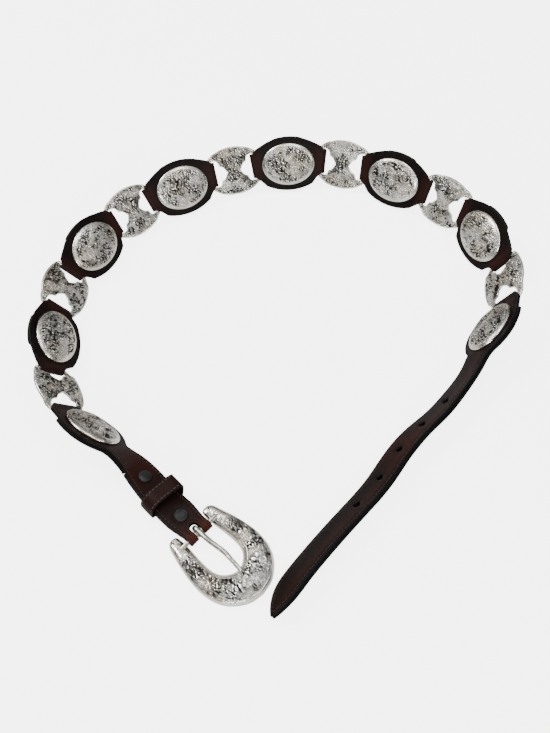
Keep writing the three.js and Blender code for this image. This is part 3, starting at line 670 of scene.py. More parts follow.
# A flat triangulated sheet: an outline and holes, rings of points near the edges, an even net inside
class Sheet:
    def __init__(self, outline, holes, rings, spacing, outlineStep):
        self.outline = resample(outline, outlineStep)
        self.holes = [resample(hole, outlineStep) for hole in holes]
        loops = [self.outline] + self.holes
        border = np.vstack(loops)
        low, high = self.outline.min(0), self.outline.max(0)
        rowsApart = spacing * math.sqrt(3) / 2
        net = []
        for j in range(int((high[1] - low[1]) / rowsApart) + 2):
            xs = np.arange(low[0] - spacing * (j % 2) / 2, high[0] + spacing, spacing)
            net.append(np.column_stack([xs, np.full(len(xs), low[1] + j * rowsApart)]))
        net = np.vstack(net)
        net = net[self.within(net)]
        net = net[self.edgeDistance(net) > max(rings or [0]) + spacing * 0.55]
        extra = []
        for k, loop in enumerate(loops):
            for offset in rings:
                ring = inwardRing(loop, offset if k == 0 else -offset)
                ring = ring[self.within(ring)]
                if len(ring):
                    extra.append(ring[self.edgeDistance(ring) > offset * 0.95])
        points = np.vstack([border, *extra, net])
        edges = []
        first = 0
        for loop in loops:
            edges += [(first + i, first + (i + 1) % len(loop)) for i in range(len(loop))]
            first += len(loop)
        verts, _, faces, _, _, _ = delaunay_2d_cdt([Vector(p) for p in points], edges, [], 1, 1e-5, False)
        self.points = np.array([tuple(v) for v in verts])
        faces = np.array([f for f in faces if len(f) == 3])
        centre = self.points[faces].mean(axis=1)
        self.faces = faces[self.within(centre)]
        self.distance = self.edgeDistance(self.points)
        self.borderLoops = self.findBorders()

    def within(self, points):
        inside = insideOf(points, self.outline)
        for hole in self.holes:
            inside &= ~insideOf(points, hole)
        return inside

    def edgeDistance(self, points):
        best = distanceTo(points, self.outline)
        for hole in self.holes:
            best = np.minimum(best, distanceTo(points, hole))
        return best

    # Border edges, in the direction that their triangle runs
    def findBorders(self):
        seen = {}
        for a, b, c in self.faces:
            for edge in ((a, b), (b, c), (c, a)):
                seen[edge] = True
        return [edge for edge in seen if (edge[1], edge[0]) not in seen]


# Solid of a sheet: a top and a bottom side joined by a wall in a few rows
def solidFaces(sheet, wallRows):
    count = len(sheet.points)
    faces = [tuple(int(i) for i in f) for f in sheet.faces]
    faces += [tuple(int(i) + count for i in reversed(f)) for f in sheet.faces]
    border = sorted({i for edge in sheet.borderLoops for i in edge})
    rowOf = {v: k for k, v in enumerate(border)}

    def wallVertex(i, row):
        if row == 0:
            return int(i)
        if row == wallRows:
            return int(i) + count
        return 2 * count + (row - 1) * len(border) + rowOf[i]

    for a, b in sheet.borderLoops:
        for row in range(wallRows):
            corners = ((b, row), (a, row), (a, row + 1), (b, row + 1))
            faces.append(tuple(wallVertex(*corner) for corner in corners))
    return faces, border


def roundedDrop(distance, radius):
    inner = np.clip(radius - distance, 0, radius)
    return radius - np.sqrt(np.maximum(radius**2 - inner**2, 0))


# Leather: paths of stations, with the sheet's length on x and its width on y
class LeatherPath:
    def __init__(self, stations):
        self.place = np.array([s[0] for s in stations])
        self.across = np.array([unit(s[1]) for s in stations])
        self.through = np.array([unit(s[2]) for s in stations])
        self.half = np.array([s[3] for s in stations])
        steps = np.linalg.norm(np.diff(self.place, axis=0), axis=1)
        self.along = np.concatenate([[0], np.cumsum(steps)])

    def at(self, marks, values):
        return np.column_stack([np.interp(marks, self.along, values[:, k]) for k in range(3)])

    # Points given by length, width and height above the leather's middle
    def world(self, length, width, height):
        place, across, through = (self.at(length, v) for v in (self.place, self.across, self.through))
        across /= np.linalg.norm(across, axis=1, keepdims=True)
        through /= np.linalg.norm(through, axis=1, keepdims=True)
        return place + across * np.asarray(width)[:, None] + through * np.asarray(height)[:, None]

    def outline(self):
        right = np.column_stack([self.along, self.half])
        left = np.column_stack([self.along, -self.half])
        return np.vstack([left, right[::-1]])


edgeFinish = {
    "round": 0.62, "crease": 2.3, "creaseWidth": 0.34, "creaseDepth": 0.2, "wallRows": 2,
    "rings": [0.1, 0.28, 0.62, 1.5, 1.95, 2.3, 2.65, 3.1], "dyed": (0.25, 0.75),
}


def leatherSolid(sheet, path, relief=None, crease=True):
    thick = belt["leather"]
    p, d = sheet.points, sheet.distance
    drop = roundedDrop(d, edgeFinish["round"])
    line = ridge(d, edgeFinish["crease"], edgeFinish["creaseWidth"]) * crease
    extra = relief(p) if relief else np.zeros(len(p))
    top = thick / 2 - drop - line * edgeFinish["creaseDepth"] + extra
    bottom = -thick / 2 + drop
    rows = edgeFinish["wallRows"]
    faces, border = solidFaces(sheet, rows)
    upper = path.world(p[:, 0], p[:, 1], top)
    lower = path.world(p[:, 0], p[:, 1], bottom)
    b = np.array(border)
    wall = [upper[b] * (1 - k / rows) + lower[b] * k / rows for k in range(1, rows)]
    verts = np.vstack([upper, lower, *wall])
    near = 1 - smooth(d, *edgeFinish["dyed"])
    return verts, faces, padded(np.tile(near, 2), len(verts), 1), padded(line, len(verts))


# A leather piece. Face leather has a crease and a reddish tint, partly its own worn colour and partly a
# painted highlight on its folds, and a backing has neither.
def addLeather(name, node, sheet, path, redTintAndPaintedFoldHighlight=None, relief=None):
    face = redTintAndPaintedFoldHighlight is not None
    verts, faces, edge, groove = leatherSolid(sheet, path, relief, face)
    masks = {"edge": edge, "groove": groove}
    if face:
        masks["warm"] = padded(np.tile(redTintAndPaintedFoldHighlight, 2), len(verts))
    material, slot = (faceLeather, "face_leather") if face else (backLeather, "back_leather")
    addPiece(name, verts, faces, material, "belt", slot, (node,), **masks)


def ovalHalf(offset, halfLength):
    inside = 1 - (offset / halfLength) ** 2
    return belt["padWide"] * math.sqrt(inside) if inside > 0 else 0


def softMax(a, b, rounding):
    return (a + b + math.hypot(a - b, rounding)) / 2


# Half width of a strap end: a tab at the bar, an oval pad under the concho, then the strap itself
def padHalf(distance, strapHalf):
    if distance < padCentre:
        return softMax(belt["tabHalf"], ovalHalf(distance - padCentre, belt["padSide"]), 0.5)
    return softMax(strapHalf, ovalHalf(distance - padCentre, belt["padLong"]), 3.5)


def buckleStrapHalf(distance):
    length = buckleStrap["length"]
    ease = float(smooth(distance, length * buckleStrap["narrowFrom"], length * buckleStrap["narrowTo"]))
    return padHalf(distance, buckleStrap["half"] + (buckleStrap["foldHalf"] - buckleStrap["half"]) * ease)


def tongueHalf(distance):
    fromTip = tongueStrap["length"] - distance
    if fromTip < tongueStrap["tip"]:
        share = max(0.0, fromTip / tongueStrap["tip"])
        return max(0.6, tongueStrap["half"] * math.sin(share * math.pi / 2) ** 0.8)
    return padHalf(distance, tongueStrap["half"])


# Half width of a tab's near side, which follows the pad's oval
def tabNearHalf(along):
    return max(belt["tabHalf"], ovalHalf(padCentre + along, belt["padSide"]))


# Stations of a loop round a bar, from its far layer over the bar to its near layer
def loopStations(loop, radius, half, reach, side, nearHalf=None, steps=16):
    sweep = 110 * deg
    endA, endU = radius * math.cos(sweep), radius * math.sin(sweep)
    lead = [(-reach + (endA + reach) * t, layerMiddle + (endU - layerMiddle) * t) for t in (0, 0.33, 0.66)]
    rows = [(a, -u) for a, u in lead]
    for i in range(steps + 1):
        angle = -sweep + 2 * sweep * i / steps
        rows.append((radius * math.cos(angle), radius * math.sin(angle)))
    rows = np.array(rows + lead[::-1])
    ahead = directions(rows)
    outside = np.column_stack([ahead[:, 1], -ahead[:, 0]])
    outside[0], outside[-1] = (0, -1), (0, 1)
    stations = []
    for (a, u), (oa, ou) in zip(rows, outside):
        here = nearHalf(a) if nearHalf and u > 0 else half
        stations.append((loop.world([a, 0, u]), loop.y * side, loop.x * oa + loop.n * ou, here))
    return stations


def strapStations(frames, fromAt, toAt, face, halfAt, step=1.0):
    count = max(2, int(abs(toAt - fromAt) / step))
    rows = []
    for distance in np.linspace(fromAt, toAt, count + 1):
        f = frameAt(frames, distance)
        rows.append((f.world([0, 0, face * layerMiddle]), f.y, f.n * face, halfAt(distance)))
    return rows


def linkStations(link, startLoop, endLoop):
    reach = belt["loopReach"]
    rows = loopStations(startLoop, loopRadius, belt["tabHalf"], reach, -1, tabNearHalf)[:-2]
    inner = padCentre - reach - 3
    for x in np.linspace(-inner, inner, 44):
        rows.append((link.world([x, 0, layerMiddle]), link.y, link.n, ovalHalf(x, belt["padSide"])))
    closing = loopStations(endLoop, loopRadius, belt["tabHalf"], reach, 1, tabNearHalf)[:-2]
    return rows + closing[::-1]


# Rows of stitches: small twisted ovals half sunk in the leather
stitch = {"length": 2.0, "pitch": 2.75, "width": 0.36, "height": 0.3, "inset": 2.3, "proud": 0.02}


def stitchMesh(places):
    rings, sides = 5, 6
    verts, faces = [], []
    for place, ahead, up in places:
        side = np.cross(up, ahead)
        base = len(verts)
        for i in range(rings):
            t = math.pi * (i + 0.5) / rings
            reach = -math.cos(t) * stitch["length"] / 2
            fat = math.sin(t) ** 0.6
            for k in range(sides):
                a = 2 * math.pi * k / sides
                wide, tall = stitch["width"] * fat * math.cos(a), stitch["height"] * fat * math.sin(a)
                verts.append(place + ahead * reach + side * wide + up * tall)
        faces += tubeFaces(rings, sides, base)
    return np.array(verts), faces


def stitchesOn(name, path, line, body, lift, material=thread):
    marks = resample(line, stitch["pitch"], closed=False)
    ahead = directions(marks)
    level = np.full(len(marks), lift)
    here = path.world(marks[:, 0], marks[:, 1], level)
    there = path.world(marks[:, 0] + ahead[:, 0] * 0.5, marks[:, 1] + ahead[:, 1] * 0.5, level)
    above = path.world(marks[:, 0], marks[:, 1], level + 0.5)
    places = []
    for a, b, c in zip(here, there, above):
        forward = unit(b - a)
        up = c - a
        places.append((a, forward, unit(up - forward * (up @ forward))))
    verts, faces = stitchMesh(places)
    return addPiece(name, verts, faces, material, body, "face_leather")


# The tabs' reddish tint near the bars is partly worn leather and partly a painted highlight on the rounded
# fold
linkLook = {"redTintAndPaintedFoldHighlight": 0.22, "tintAndHighlightReach": (15, 21), "cutShare": 0.65, "roundReach": 5, "roundShare": 0.3}


# Links: the face leather with its two tabs round the connector bars, and the backing behind it
def buildLinks():
    faceSheet = backSheet = None
    for i, link in enumerate(links, 1):
        startLoop = loopFrame(link.start, chain[2 * i - 2], link.n, -1)
        endLoop = loopFrame(link.end, chain[2 * i], link.n, 1)
        path = LeatherPath(linkStations(link, startLoop, endLoop))
        if faceSheet is None:
            nominal = path
            faceSheet = Sheet(path.outline(), [], edgeFinish["rings"], 1.5, 0.75)
        path.along = nominal.along
        fromBar = np.minimum(faceSheet.points[:, 0], path.along[-1] - faceSheet.points[:, 0])
        # Reddish tint fading away from each bar: partly worn leather, partly a painted fold highlight
        redTintAndPaintedFoldHighlight = linkLook["redTintAndPaintedFoldHighlight"] * (1 - smooth(fromBar, *linkLook["tintAndHighlightReach"]))
        addLeather(f"link_leather_{i}", f"link_face_{i}", faceSheet, path, redTintAndPaintedFoldHighlight)
        cut = padCentre - belt["loopReach"] - belt["tabHalf"] * linkLook["cutShare"]
        rows = []
        for x in np.linspace(-cut, cut, 44):
            nearEnd = float(smooth(abs(x), cut - linkLook["roundReach"], cut))
            half = ovalHalf(x, belt["padSide"]) * (1 - linkLook["roundShare"] * nearEnd**2)
            rows.append((link.world([x, 0, -layerMiddle]), link.y, -link.n, half))
        backPath = LeatherPath(rows)
        if backSheet is None:
            backSheet = Sheet(backPath.outline(), [], edgeFinish["rings"][:3], 2.2, 0.9)
        addLeather(f"link_backing_{i}", f"link_back_{i}", backSheet, backPath)


buildLinks()
print("stage: links")


# Strap ends
def circle(centre, radius, sides=20):
    angles = np.arange(sides) / sides * 2 * math.pi
    return np.column_stack([centre[0] + radius * np.cos(angles), centre[1] + radius * np.sin(angles)])


stitchLift = belt["leather"] / 2 - edgeFinish["creaseDepth"] + stitch["proud"]
snaps = {"places": (16.5, 55), "radius": 4.6, "rise": 1.1, "gap": 0.45, "dish": 7.4, "dishDepth": 0.42}


def buildBuckleStrap():
    loop = loopFrame(chain[0].start, chain[0], frameAt(strapA, belt["loopReach"]).n, 1)
    rows = loopStations(loop, loopRadius, belt["tabHalf"], belt["loopReach"], 1, tabNearHalf)
    length = buckleStrap["length"]
    topEnd = length - buckleStrap["foldReach"]
    first = belt["loopReach"] + belt["rootEase"] * 2
    topStart = len(rows)
    rows += strapStations(strapA, first, topEnd, 1, buckleStrapHalf)
    foldRadius = 1.7 + belt["barGap"] + belt["leather"] / 2
    fold = loopStations(buckleFrame, foldRadius, buckleStrap["foldHalf"], buckleStrap["foldReach"], -1)
    rows += fold[1:-1][::-1]
    flapEnd = length - buckleStrap["flap"]
    rows += strapStations(strapA, topEnd, flapEnd, -1, buckleStrapHalf)
    path = LeatherPath(rows)
    atFirst = path.along[topStart]

    def onTop(distance):
        return atFirst + distance - first

    foldMiddle = (path.along[topStart + int(topEnd - first)] + path.along[-1 - int(topEnd - flapEnd)]) / 2
    half = buckleStrap["slotHalf"]
    back = buckleStrap["slotBack"] + math.pi * foldRadius / 2 - 1
    slotLine = []
    for centre, begin in ((foldMiddle + back - half, -90), (foldMiddle - back + half, 90)):
        for a in np.linspace(begin, begin + 180, 9) * deg:
            slotLine.append((centre + half * math.cos(a), half * math.sin(a)))
    sheet = Sheet(path.outline(), [np.array(slotLine)], edgeFinish["rings"], 1.3, 0.8)

    def relief(p):
        result = np.zeros(len(p))
        for place in snaps["places"]:
            r = np.hypot(p[:, 0] - onTop(length - place), p[:, 1])
            result -= snaps["dishDepth"] * (1 - smooth(r, snaps["radius"] + 0.3, snaps["dish"]))
        return result

    p = sheet.points
    # Reddish tint, strongest at the fold round the buckle bar: partly worn leather, partly a painted
    # highlight on the rounded fold
    redTintAndPaintedFoldHighlight = 0.12 + 0.88 * ridge(p[:, 0], foldMiddle, 9) + 0.25 * ridge(p[:, 0], onTop(72), 14)
    addLeather("buckle_strap_leather", "buckle_strap", sheet, path, redTintAndPaintedFoldHighlight, relief)
    for side, name in ((-1, "low"), (1, "high")):
        line = []
        for distance in np.arange(buckleStrap["stitchFrom"], length - buckleStrap["stitchEnd"], 1.0):
            line.append((onTop(distance), side * (buckleStrapHalf(distance) - stitch["inset"])))
        stitchesOn(f"buckle_strap_stitches_{name}", path, line, "belt", stitchLift)
    liningStart = belt["loopReach"] + belt["tabHalf"] * 0.5
    lining = LeatherPath(strapStations(strapA, liningStart, flapEnd - belt["edgeGap"], -1, buckleStrapHalf))
    backing = Sheet(lining.outline(), [], edgeFinish["rings"][:3], 2.2, 0.9)
    addLeather("buckle_strap_backing", "buckle_strap_lining", backing, lining)


def buildTongue():
    loop = loopFrame(chain[-1].end, chain[-1], frameAt(strapB, belt["loopReach"]).n, -1)
    rows = loopStations(loop, loopRadius, belt["tabHalf"], belt["loopReach"], -1, tabNearHalf)
    length = tongueStrap["length"]
    first = belt["loopReach"] + belt["rootEase"] * 2
    topStart = len(rows)
    rows += strapStations(strapB, first, length, 1, tongueHalf)
    path = LeatherPath(rows)
    atFirst = path.along[topStart]

    def onTop(distance):
        return atFirst + distance - first

    t = tongueStrap
    radius = t["holeRadius"]
    centres = [t["firstHole"] + k * t["holePitch"] for k in range(t["holes"])]
    holes = [circle((onTop(c), 0), radius) for c in centres]
    sheet = Sheet(path.outline(), holes, edgeFinish["rings"], 1.3, 0.75)

    # No crease round the holes, and the leather pressed down at each
    def relief(p):
        result = np.zeros(len(p))
        for c in centres:
            r = np.hypot(p[:, 0] - onTop(c), p[:, 1])
            crease = ridge(r, radius + edgeFinish["crease"], edgeFinish["creaseWidth"])
            result += edgeFinish["creaseDepth"] * crease
            result -= t["pressDepth"] * (1 - smooth(r, radius, radius + t["pressReach"]))
        return result

    p = sheet.points
    redTintAndPaintedFoldHighlight = 0.04 + 0.2 * ridge(p[:, 0], onTop(142), 16) + 0.2 * ridge(p[:, 1], 4, 3)
    addLeather("tongue_leather", "tongue_strap", sheet, path, redTintAndPaintedFoldHighlight, relief)
    inset = stitch["inset"]
    tipStart = length - t["stitchEnd"]
    high = [(onTop(d), tongueHalf(d) - inset) for d in np.arange(t["stitchFrom"], tipStart, 1.0)]
    for d in np.arange(tipStart, length - inset, 0.5):
        high.append((onTop(d), max(0.0, tongueHalf(d) - inset)))
    line = [(a, -b) for a, b in high] + high[::-1]
    stitchesOn("tongue_stitches", path, line, "belt", stitchLift)
    liningStart = belt["loopReach"] + belt["tabHalf"] * 0.5
    lining = LeatherPath(strapStations(strapB, liningStart, length, -1, tongueHalf))
    shift = lining.along[-1] - length
    holes = [circle((shift + c, 0), radius) for c in centres]
    backing = Sheet(lining.outline(), holes, edgeFinish["rings"][:3], 2.0, 0.9)
    addLeather("tongue_backing", "tongue_lining", backing, lining)


keeper = {
    "width": 12, "thick": 1.7, "sideGap": 0.6, "hollow": 7.6, "place": 35, "inset": 1.6, "lap": 3,
    "rings": [0.1, 0.28, 0.6, 1.1, 1.45, 1.8, 2.2],
}


# Keeper: a band round the strap, its ends meeting below
def buildKeeper():
    f = frameAt(strapA, buckleStrap["length"] - keeper["place"])
    side = buckleStrap["half"] + keeper["sideGap"]
    low = -faceTop - keeper["sideGap"]
    high = faceTop + keeper["hollow"]
    thick = keeper["thick"]
    grow = thick / 2
    corners = [
        (0, low - grow), (side * 0.8, low - grow), (side + grow, low), (side + grow, high * 0.45),
        (side * 0.72, high * 0.86 + grow), (side * 0.1, high + grow), (-side * 0.8, high * 1.06 + grow),
        (-side - grow, high * 0.8 + grow * 0.6), (-side - grow, low), (-side * 0.8, low - grow),
        (-0.1, low - grow),
    ]
    curve = resample(throughPoints(corners, 8), 0.6, closed=False)
    half = keeper["width"] / 2
    rows = []
    for (y, z), (ty, tz) in zip(curve, directions(curve)):
        rows.append((f.world([0, y, z]), f.x, f.y * tz - f.n * ty, half))
    path = LeatherPath(rows)
    end = path.along[-1]
    sheet = Sheet(path.outline(), [], keeper["rings"], 1.2, 0.7)
    p, d = sheet.points, sheet.distance
    line = ridge(d, keeper["inset"], edgeFinish["creaseWidth"])
    line[(p[:, 0] < keeper["lap"]) | (p[:, 0] > end - keeper["lap"])] = 0
    drop = roundedDrop(d, edgeFinish["round"])
    top = thick / 2 - drop - line * edgeFinish["creaseDepth"]
    faces, _ = solidFaces(sheet, 1)
    verts = np.vstack([path.world(p[:, 0], p[:, 1], top), path.world(p[:, 0], p[:, 1], -thick / 2 + drop)])
    addPiece(
        "keeper_leather", verts, faces, faceLeather, "belt", "face_leather", ("keeper_loop",),
        edge=np.tile(1 - smooth(d, 0.2, 0.7), 2), groove=padded(line, len(verts)),
        warm=np.full(len(verts), 0.15),
    )
    lift = thick / 2 - edgeFinish["creaseDepth"] + stitch["proud"]
    marks = np.arange(keeper["lap"] + 1, end - keeper["lap"] - 1, 1.0)
    for s, name in ((-1, "near"), (1, "far")):
        row = [(a, s * (half - keeper["inset"])) for a in marks]
        stitchesOn(f"keeper_stitches_{name}", path, row, "belt", lift, keeperThread)


buildBuckleStrap()
buildTongue()
buildKeeper()
print("stage: straps and keeper")


# Engraving: raised strokes, each a row of points with a width, mirrored as the piece needs
def spiral(cx, cy, outer, inner, begin, turns, wide, narrow, points=26):
    rows = []
    for i in range(points):
        t = i / (points - 1)
        a = begin * deg + turns * 2 * math.pi * t
        r = outer + (inner - outer) * t**0.8
        rows.append((cx + r * math.cos(a), cy + r * math.sin(a), wide + (narrow - wide) * t))
    rows.append((cx, cy, narrow * 1.6))
    return np.array(rows)


def leaf(x, y, heading, length, bend, wide, points=9):
    rows = []
    a = heading * deg
    for i in range(points):
        t = i / (points - 1)
        rows.append((x, y, max(0.12, wide * math.sin(math.pi * (0.12 + 0.86 * t)) ** 0.8)))
        x += length / points * math.cos(a)
        y += length / points * math.sin(a)
        a += bend * deg / points
    return np.array(rows)


# Leaves set along the outer side of a spiral
def scroll(cx, cy, radius, begin, turns, wide, leaves, leafSize):
    strokes = [spiral(cx, cy, radius, radius * 0.16, begin, turns, wide, wide * 0.55)]
    way = 1 if turns > 0 else -1
    for k in range(leaves):
        a = begin + way * (18 + k * 300 / leaves)
        x = cx + radius * 0.96 * math.cos(a * deg)
        y = cy + radius * 0.96 * math.sin(a * deg)
        strokes.append(leaf(x, y, a + way * 38, leafSize, way * 75, wide * 0.8))
    return strokes


def mirrored(strokes, overX, overY):
    result = list(strokes)
    if overX:
        result += [s * np.array([-1, 1, 1]) for s in result]
    if overY:
        result += [s * np.array([1, -1, 1]) for s in result]
    return result


# Relief of a set of strokes at some points: 1 on a stroke's ridge and 0 off it
def reliefOf(points, strokes):
    best = np.zeros(len(points))
    for stroke in strokes:
        low = stroke[:, :2].min(0) - stroke[:, 2].max()
        high = stroke[:, :2].max(0) + stroke[:, 2].max()
        near = np.where(np.all((points > low) & (points < high), axis=1))[0]
        if not len(near):
            continue
        p = points[near]
        value = np.zeros(len(p))
        for a, b in zip(stroke[:-1], stroke[1:]):
            edge = b[:2] - a[:2]
            t = np.clip(((p - a[:2]) @ edge) / max(edge @ edge, 1e-9), 0, 1)
            gap = np.linalg.norm(p - a[:2] - t[:, None] * edge, axis=1)
            width = a[2] + (b[2] - a[2]) * t
            value = np.maximum(value, 1 - (gap / width) ** 2)
        best[near] = np.maximum(best[near], np.sqrt(np.clip(value, 0, 1)))
    return best


# A cast piece: fine relief above, a plain coarse underside
def castSolid(sheet, top, under, underSheet):
    p = sheet.points
    count = len(p)
    verts = [np.column_stack([p, top])]
    faces = [tuple(int(i) for i in f) for f in sheet.faces]
    q = underSheet.points
    verts.append(np.column_stack([q, under(q)]))
    faces += [tuple(int(i) + count for i in reversed(f)) for f in underSheet.faces]
    borderTop = {}
    for i in {i for e in sheet.borderLoops for i in e}:
        borderTop[tuple(np.round(p[i], 3))] = int(i)
    borderUnder = {}
    for i in {i for e in underSheet.borderLoops for i in e}:
        borderUnder[tuple(np.round(q[i], 3))] = int(i) + count
    for a, b in sheet.borderLoops:
        ka, kb = tuple(np.round(p[a], 3)), tuple(np.round(p[b], 3))
        faces.append((int(b), int(a), borderUnder[ka], borderUnder[kb]))
    return np.vstack(verts), faces


# Round bar, post or knuckle as extra mesh
def barMesh(start, end, radius, sides=16, rounding=0.35):
    start, end = np.asarray(start, float), np.asarray(end, float)
    ahead = unit(end - start)
    other = np.array([0, 0, 1]) if abs(ahead[2]) < 0.9 else np.array([1, 0, 0])
    u = unit(np.cross(other, ahead))
    v = np.cross(ahead, u)
    length = np.linalg.norm(end - start)
    stops = [(0, radius - rounding), (rounding * 0.3, radius - rounding * 0.3), (rounding, radius)]
    stops += [(length - s, r) for s, r in reversed(stops)]
    verts = []
    for s, r in stops:
        for k in range(sides):
            a = 2 * math.pi * k / sides
            verts.append(start + ahead * s + (u * math.cos(a) + v * math.sin(a)) * r)
    return np.array(verts), tubeFaces(len(stops), sides)


def joined(*meshes):
    verts, faces, base = [], [], 0
    for v, f in meshes:
        verts.append(v)
        faces += [tuple(i + base for i in face) for face in f]
        base += len(v)
    return np.vstack(verts), faces


concho = {
    "halfLong": 22.25, "halfWide": 17.5, "rise": 5.6, "edge": 0.96, "wall": 1.2, "postRadius": 2.1,
    "border": 0.95, "borderDepth": 0.12, "fade": 0.17, "line": 0.012, "scallops": 44, "scallopPlace": 0.925,
    "relief": 0.36, "spacing": 0.3, "petals": 8,
}

# Small scrolls of one quarter: centre, radius, start angle and turns
conchoScrolls = [
    (5.6, 3.2, 2.3, 200, 1.2), (10.7, 3.0, 2.5, 190, -1.2), (16.0, 2.9, 2.3, 210, 1.2),
    (3.0, 8.2, 2.3, 260, -1.2), (8.2, 8.0, 2.6, 230, 1.25), (13.5, 8.1, 2.4, 200, -1.2),
    (5.6, 12.9, 2.1, 250, 1.2), (10.6, 12.2, 1.8, 240, -1.2), (17.6, 6.8, 1.4, 190, 1.1),
    (1.7, 13.4, 1.4, 270, -1.1),
]


# Scrolls of all four quarters from a table of one
def quarterScrolls(rows, leafSize):
    quarter = []
    for row in rows:
        quarter += scroll(*row, 0.5, 6, leafSize)
    return mirrored(quarter, True, True)


def conchoStrokes():
    petals = []
    for k in range(concho["petals"]):
        a = 360 / concho["petals"] * k
        petals.append(leaf(math.cos(a * deg), math.sin(a * deg), a, 2.2, 0, 0.6))
    return quarterScrolls(conchoScrolls, 1.7) + petals


def buildConchos():
    c = concho
    long, wide = c["halfLong"], c["halfWide"]
    angles = np.linspace(0, 2 * math.pi, 240, endpoint=False)
    outline = np.column_stack([long * np.cos(angles), wide * np.sin(angles)])
    sheet = Sheet(outline, [], [0.08, 0.2, 0.4, 0.7], c["spacing"], 0.5)
    underSheet = Sheet(outline, [], [0.7], 3, 0.5)

    def dome(p):
        rho = np.clip((p[:, 0] / long) ** 2 + (p[:, 1] / wide) ** 2, 0, 1)
        return c["edge"] + (c["rise"] - c["edge"]) * (1 - rho) ** 0.72

    p = sheet.points
    rho = np.sqrt((p[:, 0] / long) ** 2 + (p[:, 1] / wide) ** 2)
    turn = np.arctan2(p[:, 1] / wide, p[:, 0] / long)
    strokes = reliefOf(p, conchoStrokes())
    field = 1 - smooth(rho, c["border"] - c["fade"], c["border"])
    line = ridge(rho, c["border"], c["line"])
    scallops = ridge(rho + c["line"] * np.cos(c["scallops"] * turn), c["scallopPlace"], c["line"])
    height = dome(p) - roundedDrop(sheet.distance, 0.5)
    height -= c["relief"] * (1 - strokes) * field * 0.8 + c["borderDepth"] * line
    recess = np.clip((1 - strokes) ** 2.5 * field * 0.55 + line * 0.5 + scallops * 0.35 * field, 0, 1)

    def under(q):
        return np.maximum(0, dome(q) - c["wall"]) * (underSheet.distance > 0.6)

    shell = castSolid(sheet, height, under, underSheet)
    postFoot = belt["layerGap"] - faceTop - belt["seatGap"]
    post = barMesh((0, 0, postFoot), (0, 0, c["rise"] - c["wall"]), c["postRadius"])
    verts, faces = joined(shell, post)
    masks = {"recess": padded(recess, len(verts), 0.15), "cut": padded(field, len(verts))}
    for i, f in enumerate(conchoFrames, 1):
        seat = LocalFrame(f.world([0, 0, faceTop + belt["seatGap"]]), f.x, f.y).world(verts)
        addPiece(f"engraved_concho_{i}", seat, faces, silver, "belt", "silver", (f"concho_{i}",), **masks)


screw = {"radius": 4.5, "thick": 1.4, "slotHalf": 0.55, "slotDepth": 0.7, "crown": 0.15}


def buildScrews():
    sheet = Sheet(circle((0, 0), screw["radius"], 60), [], [0.08, 0.2, 0.4], 0.45, 0.4)
    underSheet = Sheet(circle((0, 0), screw["radius"], 60), [], [], 1.5, 0.4)
    p = sheet.points
    slot = 1 - smooth(np.abs(p[:, 1]), screw["slotHalf"] - 0.1, screw["slotHalf"] + 0.15)
    r = np.hypot(p[:, 0], p[:, 1])
    height = screw["thick"] - roundedDrop(sheet.distance, 0.4) - slot * screw["slotDepth"]
    height -= screw["crown"] * (r / screw["radius"]) ** 2
    head = castSolid(sheet, height, lambda q: np.zeros(len(q)), underSheet)
    shank = barMesh((0, 0, 0.2), (0, 0, belt["layerGap"] - faceTop), concho["postRadius"])
    verts, faces = joined(head, shank)
    for i, f in enumerate(conchoFrames, 1):
        back = LocalFrame(f.world([0, 0, -faceTop - belt["seatGap"]]), f.x, -f.y).world(verts)
        addPiece(f"slotted_screw_{i}", back, faces, gunmetal, "belt", "gunmetal", (f"concho_screw_{i}",))


connector = {
    "halfWide": 20.0, "halfOval": 26.8, "pastBar": 1.9, "thick": 1.6, "crown": 2.6, "lift": 0.6,
    "dip": 1.9, "dipReach": (12, 17), "windowHalf": 11.0, "waistHalf": 5.6, "corner": 0.8,
    "bead": 0.85, "beadRise": 0.35, "relief": 0.32, "spacing": 0.3, "barHalf": 13.0,
    "knuckleRadius": 1.1, "knuckleReach": (11.5, 13.6), "knuckleDrop": 0.4, "starRadius": 1.9,
}
windowEdge = [(1, 1), (0.76, 0.9), (0.6, 0.54), (0.3, 0.4), (0, 0)]  # shares: along from the waist, across
connectorScrolls = [
    (3.2, 8.4, 2.0, 250, 1.2), (3.0, 13.6, 2.2, 230, -1.2), (7.9, 13.0, 2.1, 200, 1.2),
    (6.6, 16.8, 1.5, 180, -1.1), (12.6, 14.4, 1.9, 190, -1.2), (16.6, 13.6, 1.5, 200, 1.1),
    (2.4, 4.2, 1.5, 240, -1.1), (11.2, 16.6, 1.2, 180, 1.1),
]


def connectorOutline():
    c = connector
    barPlace = belt["connectorPitch"] / 2
    armEnd = barPlace + c["pastBar"]
    mouth = barPlace - belt["barRadius"] - belt["barGap"] - belt["leather"] - belt["edgeGap"]
    rim = []
    for x in np.linspace(0, armEnd - c["corner"], 14):
        rim.append((x, c["halfWide"] * math.sqrt(1 - (x / c["halfOval"]) ** 2)))
    rimEnd = c["halfWide"] * math.sqrt(1 - (armEnd / c["halfOval"]) ** 2)
    rim += [(armEnd - 0.2, rimEnd - 0.2), (armEnd, rimEnd - c["corner"])]
    rim += [(armEnd, c["windowHalf"] + 0.5), (armEnd - 0.4, c["windowHalf"] + 0.05)]
    window = [(c["waistHalf"] + (mouth - c["waistHalf"]) * a, c["windowHalf"] * s) for a, s in windowEdge]
    edge = throughPoints(window[:3], 4)[:-1].tolist() + throughPoints(window[2:], 5).tolist()
    quarter = np.array(rim + edge)
    return np.vstack([
        quarter, (quarter * [1, -1])[::-1][1:], (quarter * [-1, -1])[1:], (quarter * [-1, 1])[::-1][1:-1],
    ])


def connectorStrokes():
    radius = connector["starRadius"]
    angles = np.linspace(0, 2 * math.pi, 25)
    ring = np.column_stack([radius * np.cos(angles), radius * np.sin(angles), np.full(25, 0.4)])
    return quarterScrolls(connectorScrolls, 1.6) + [ring]


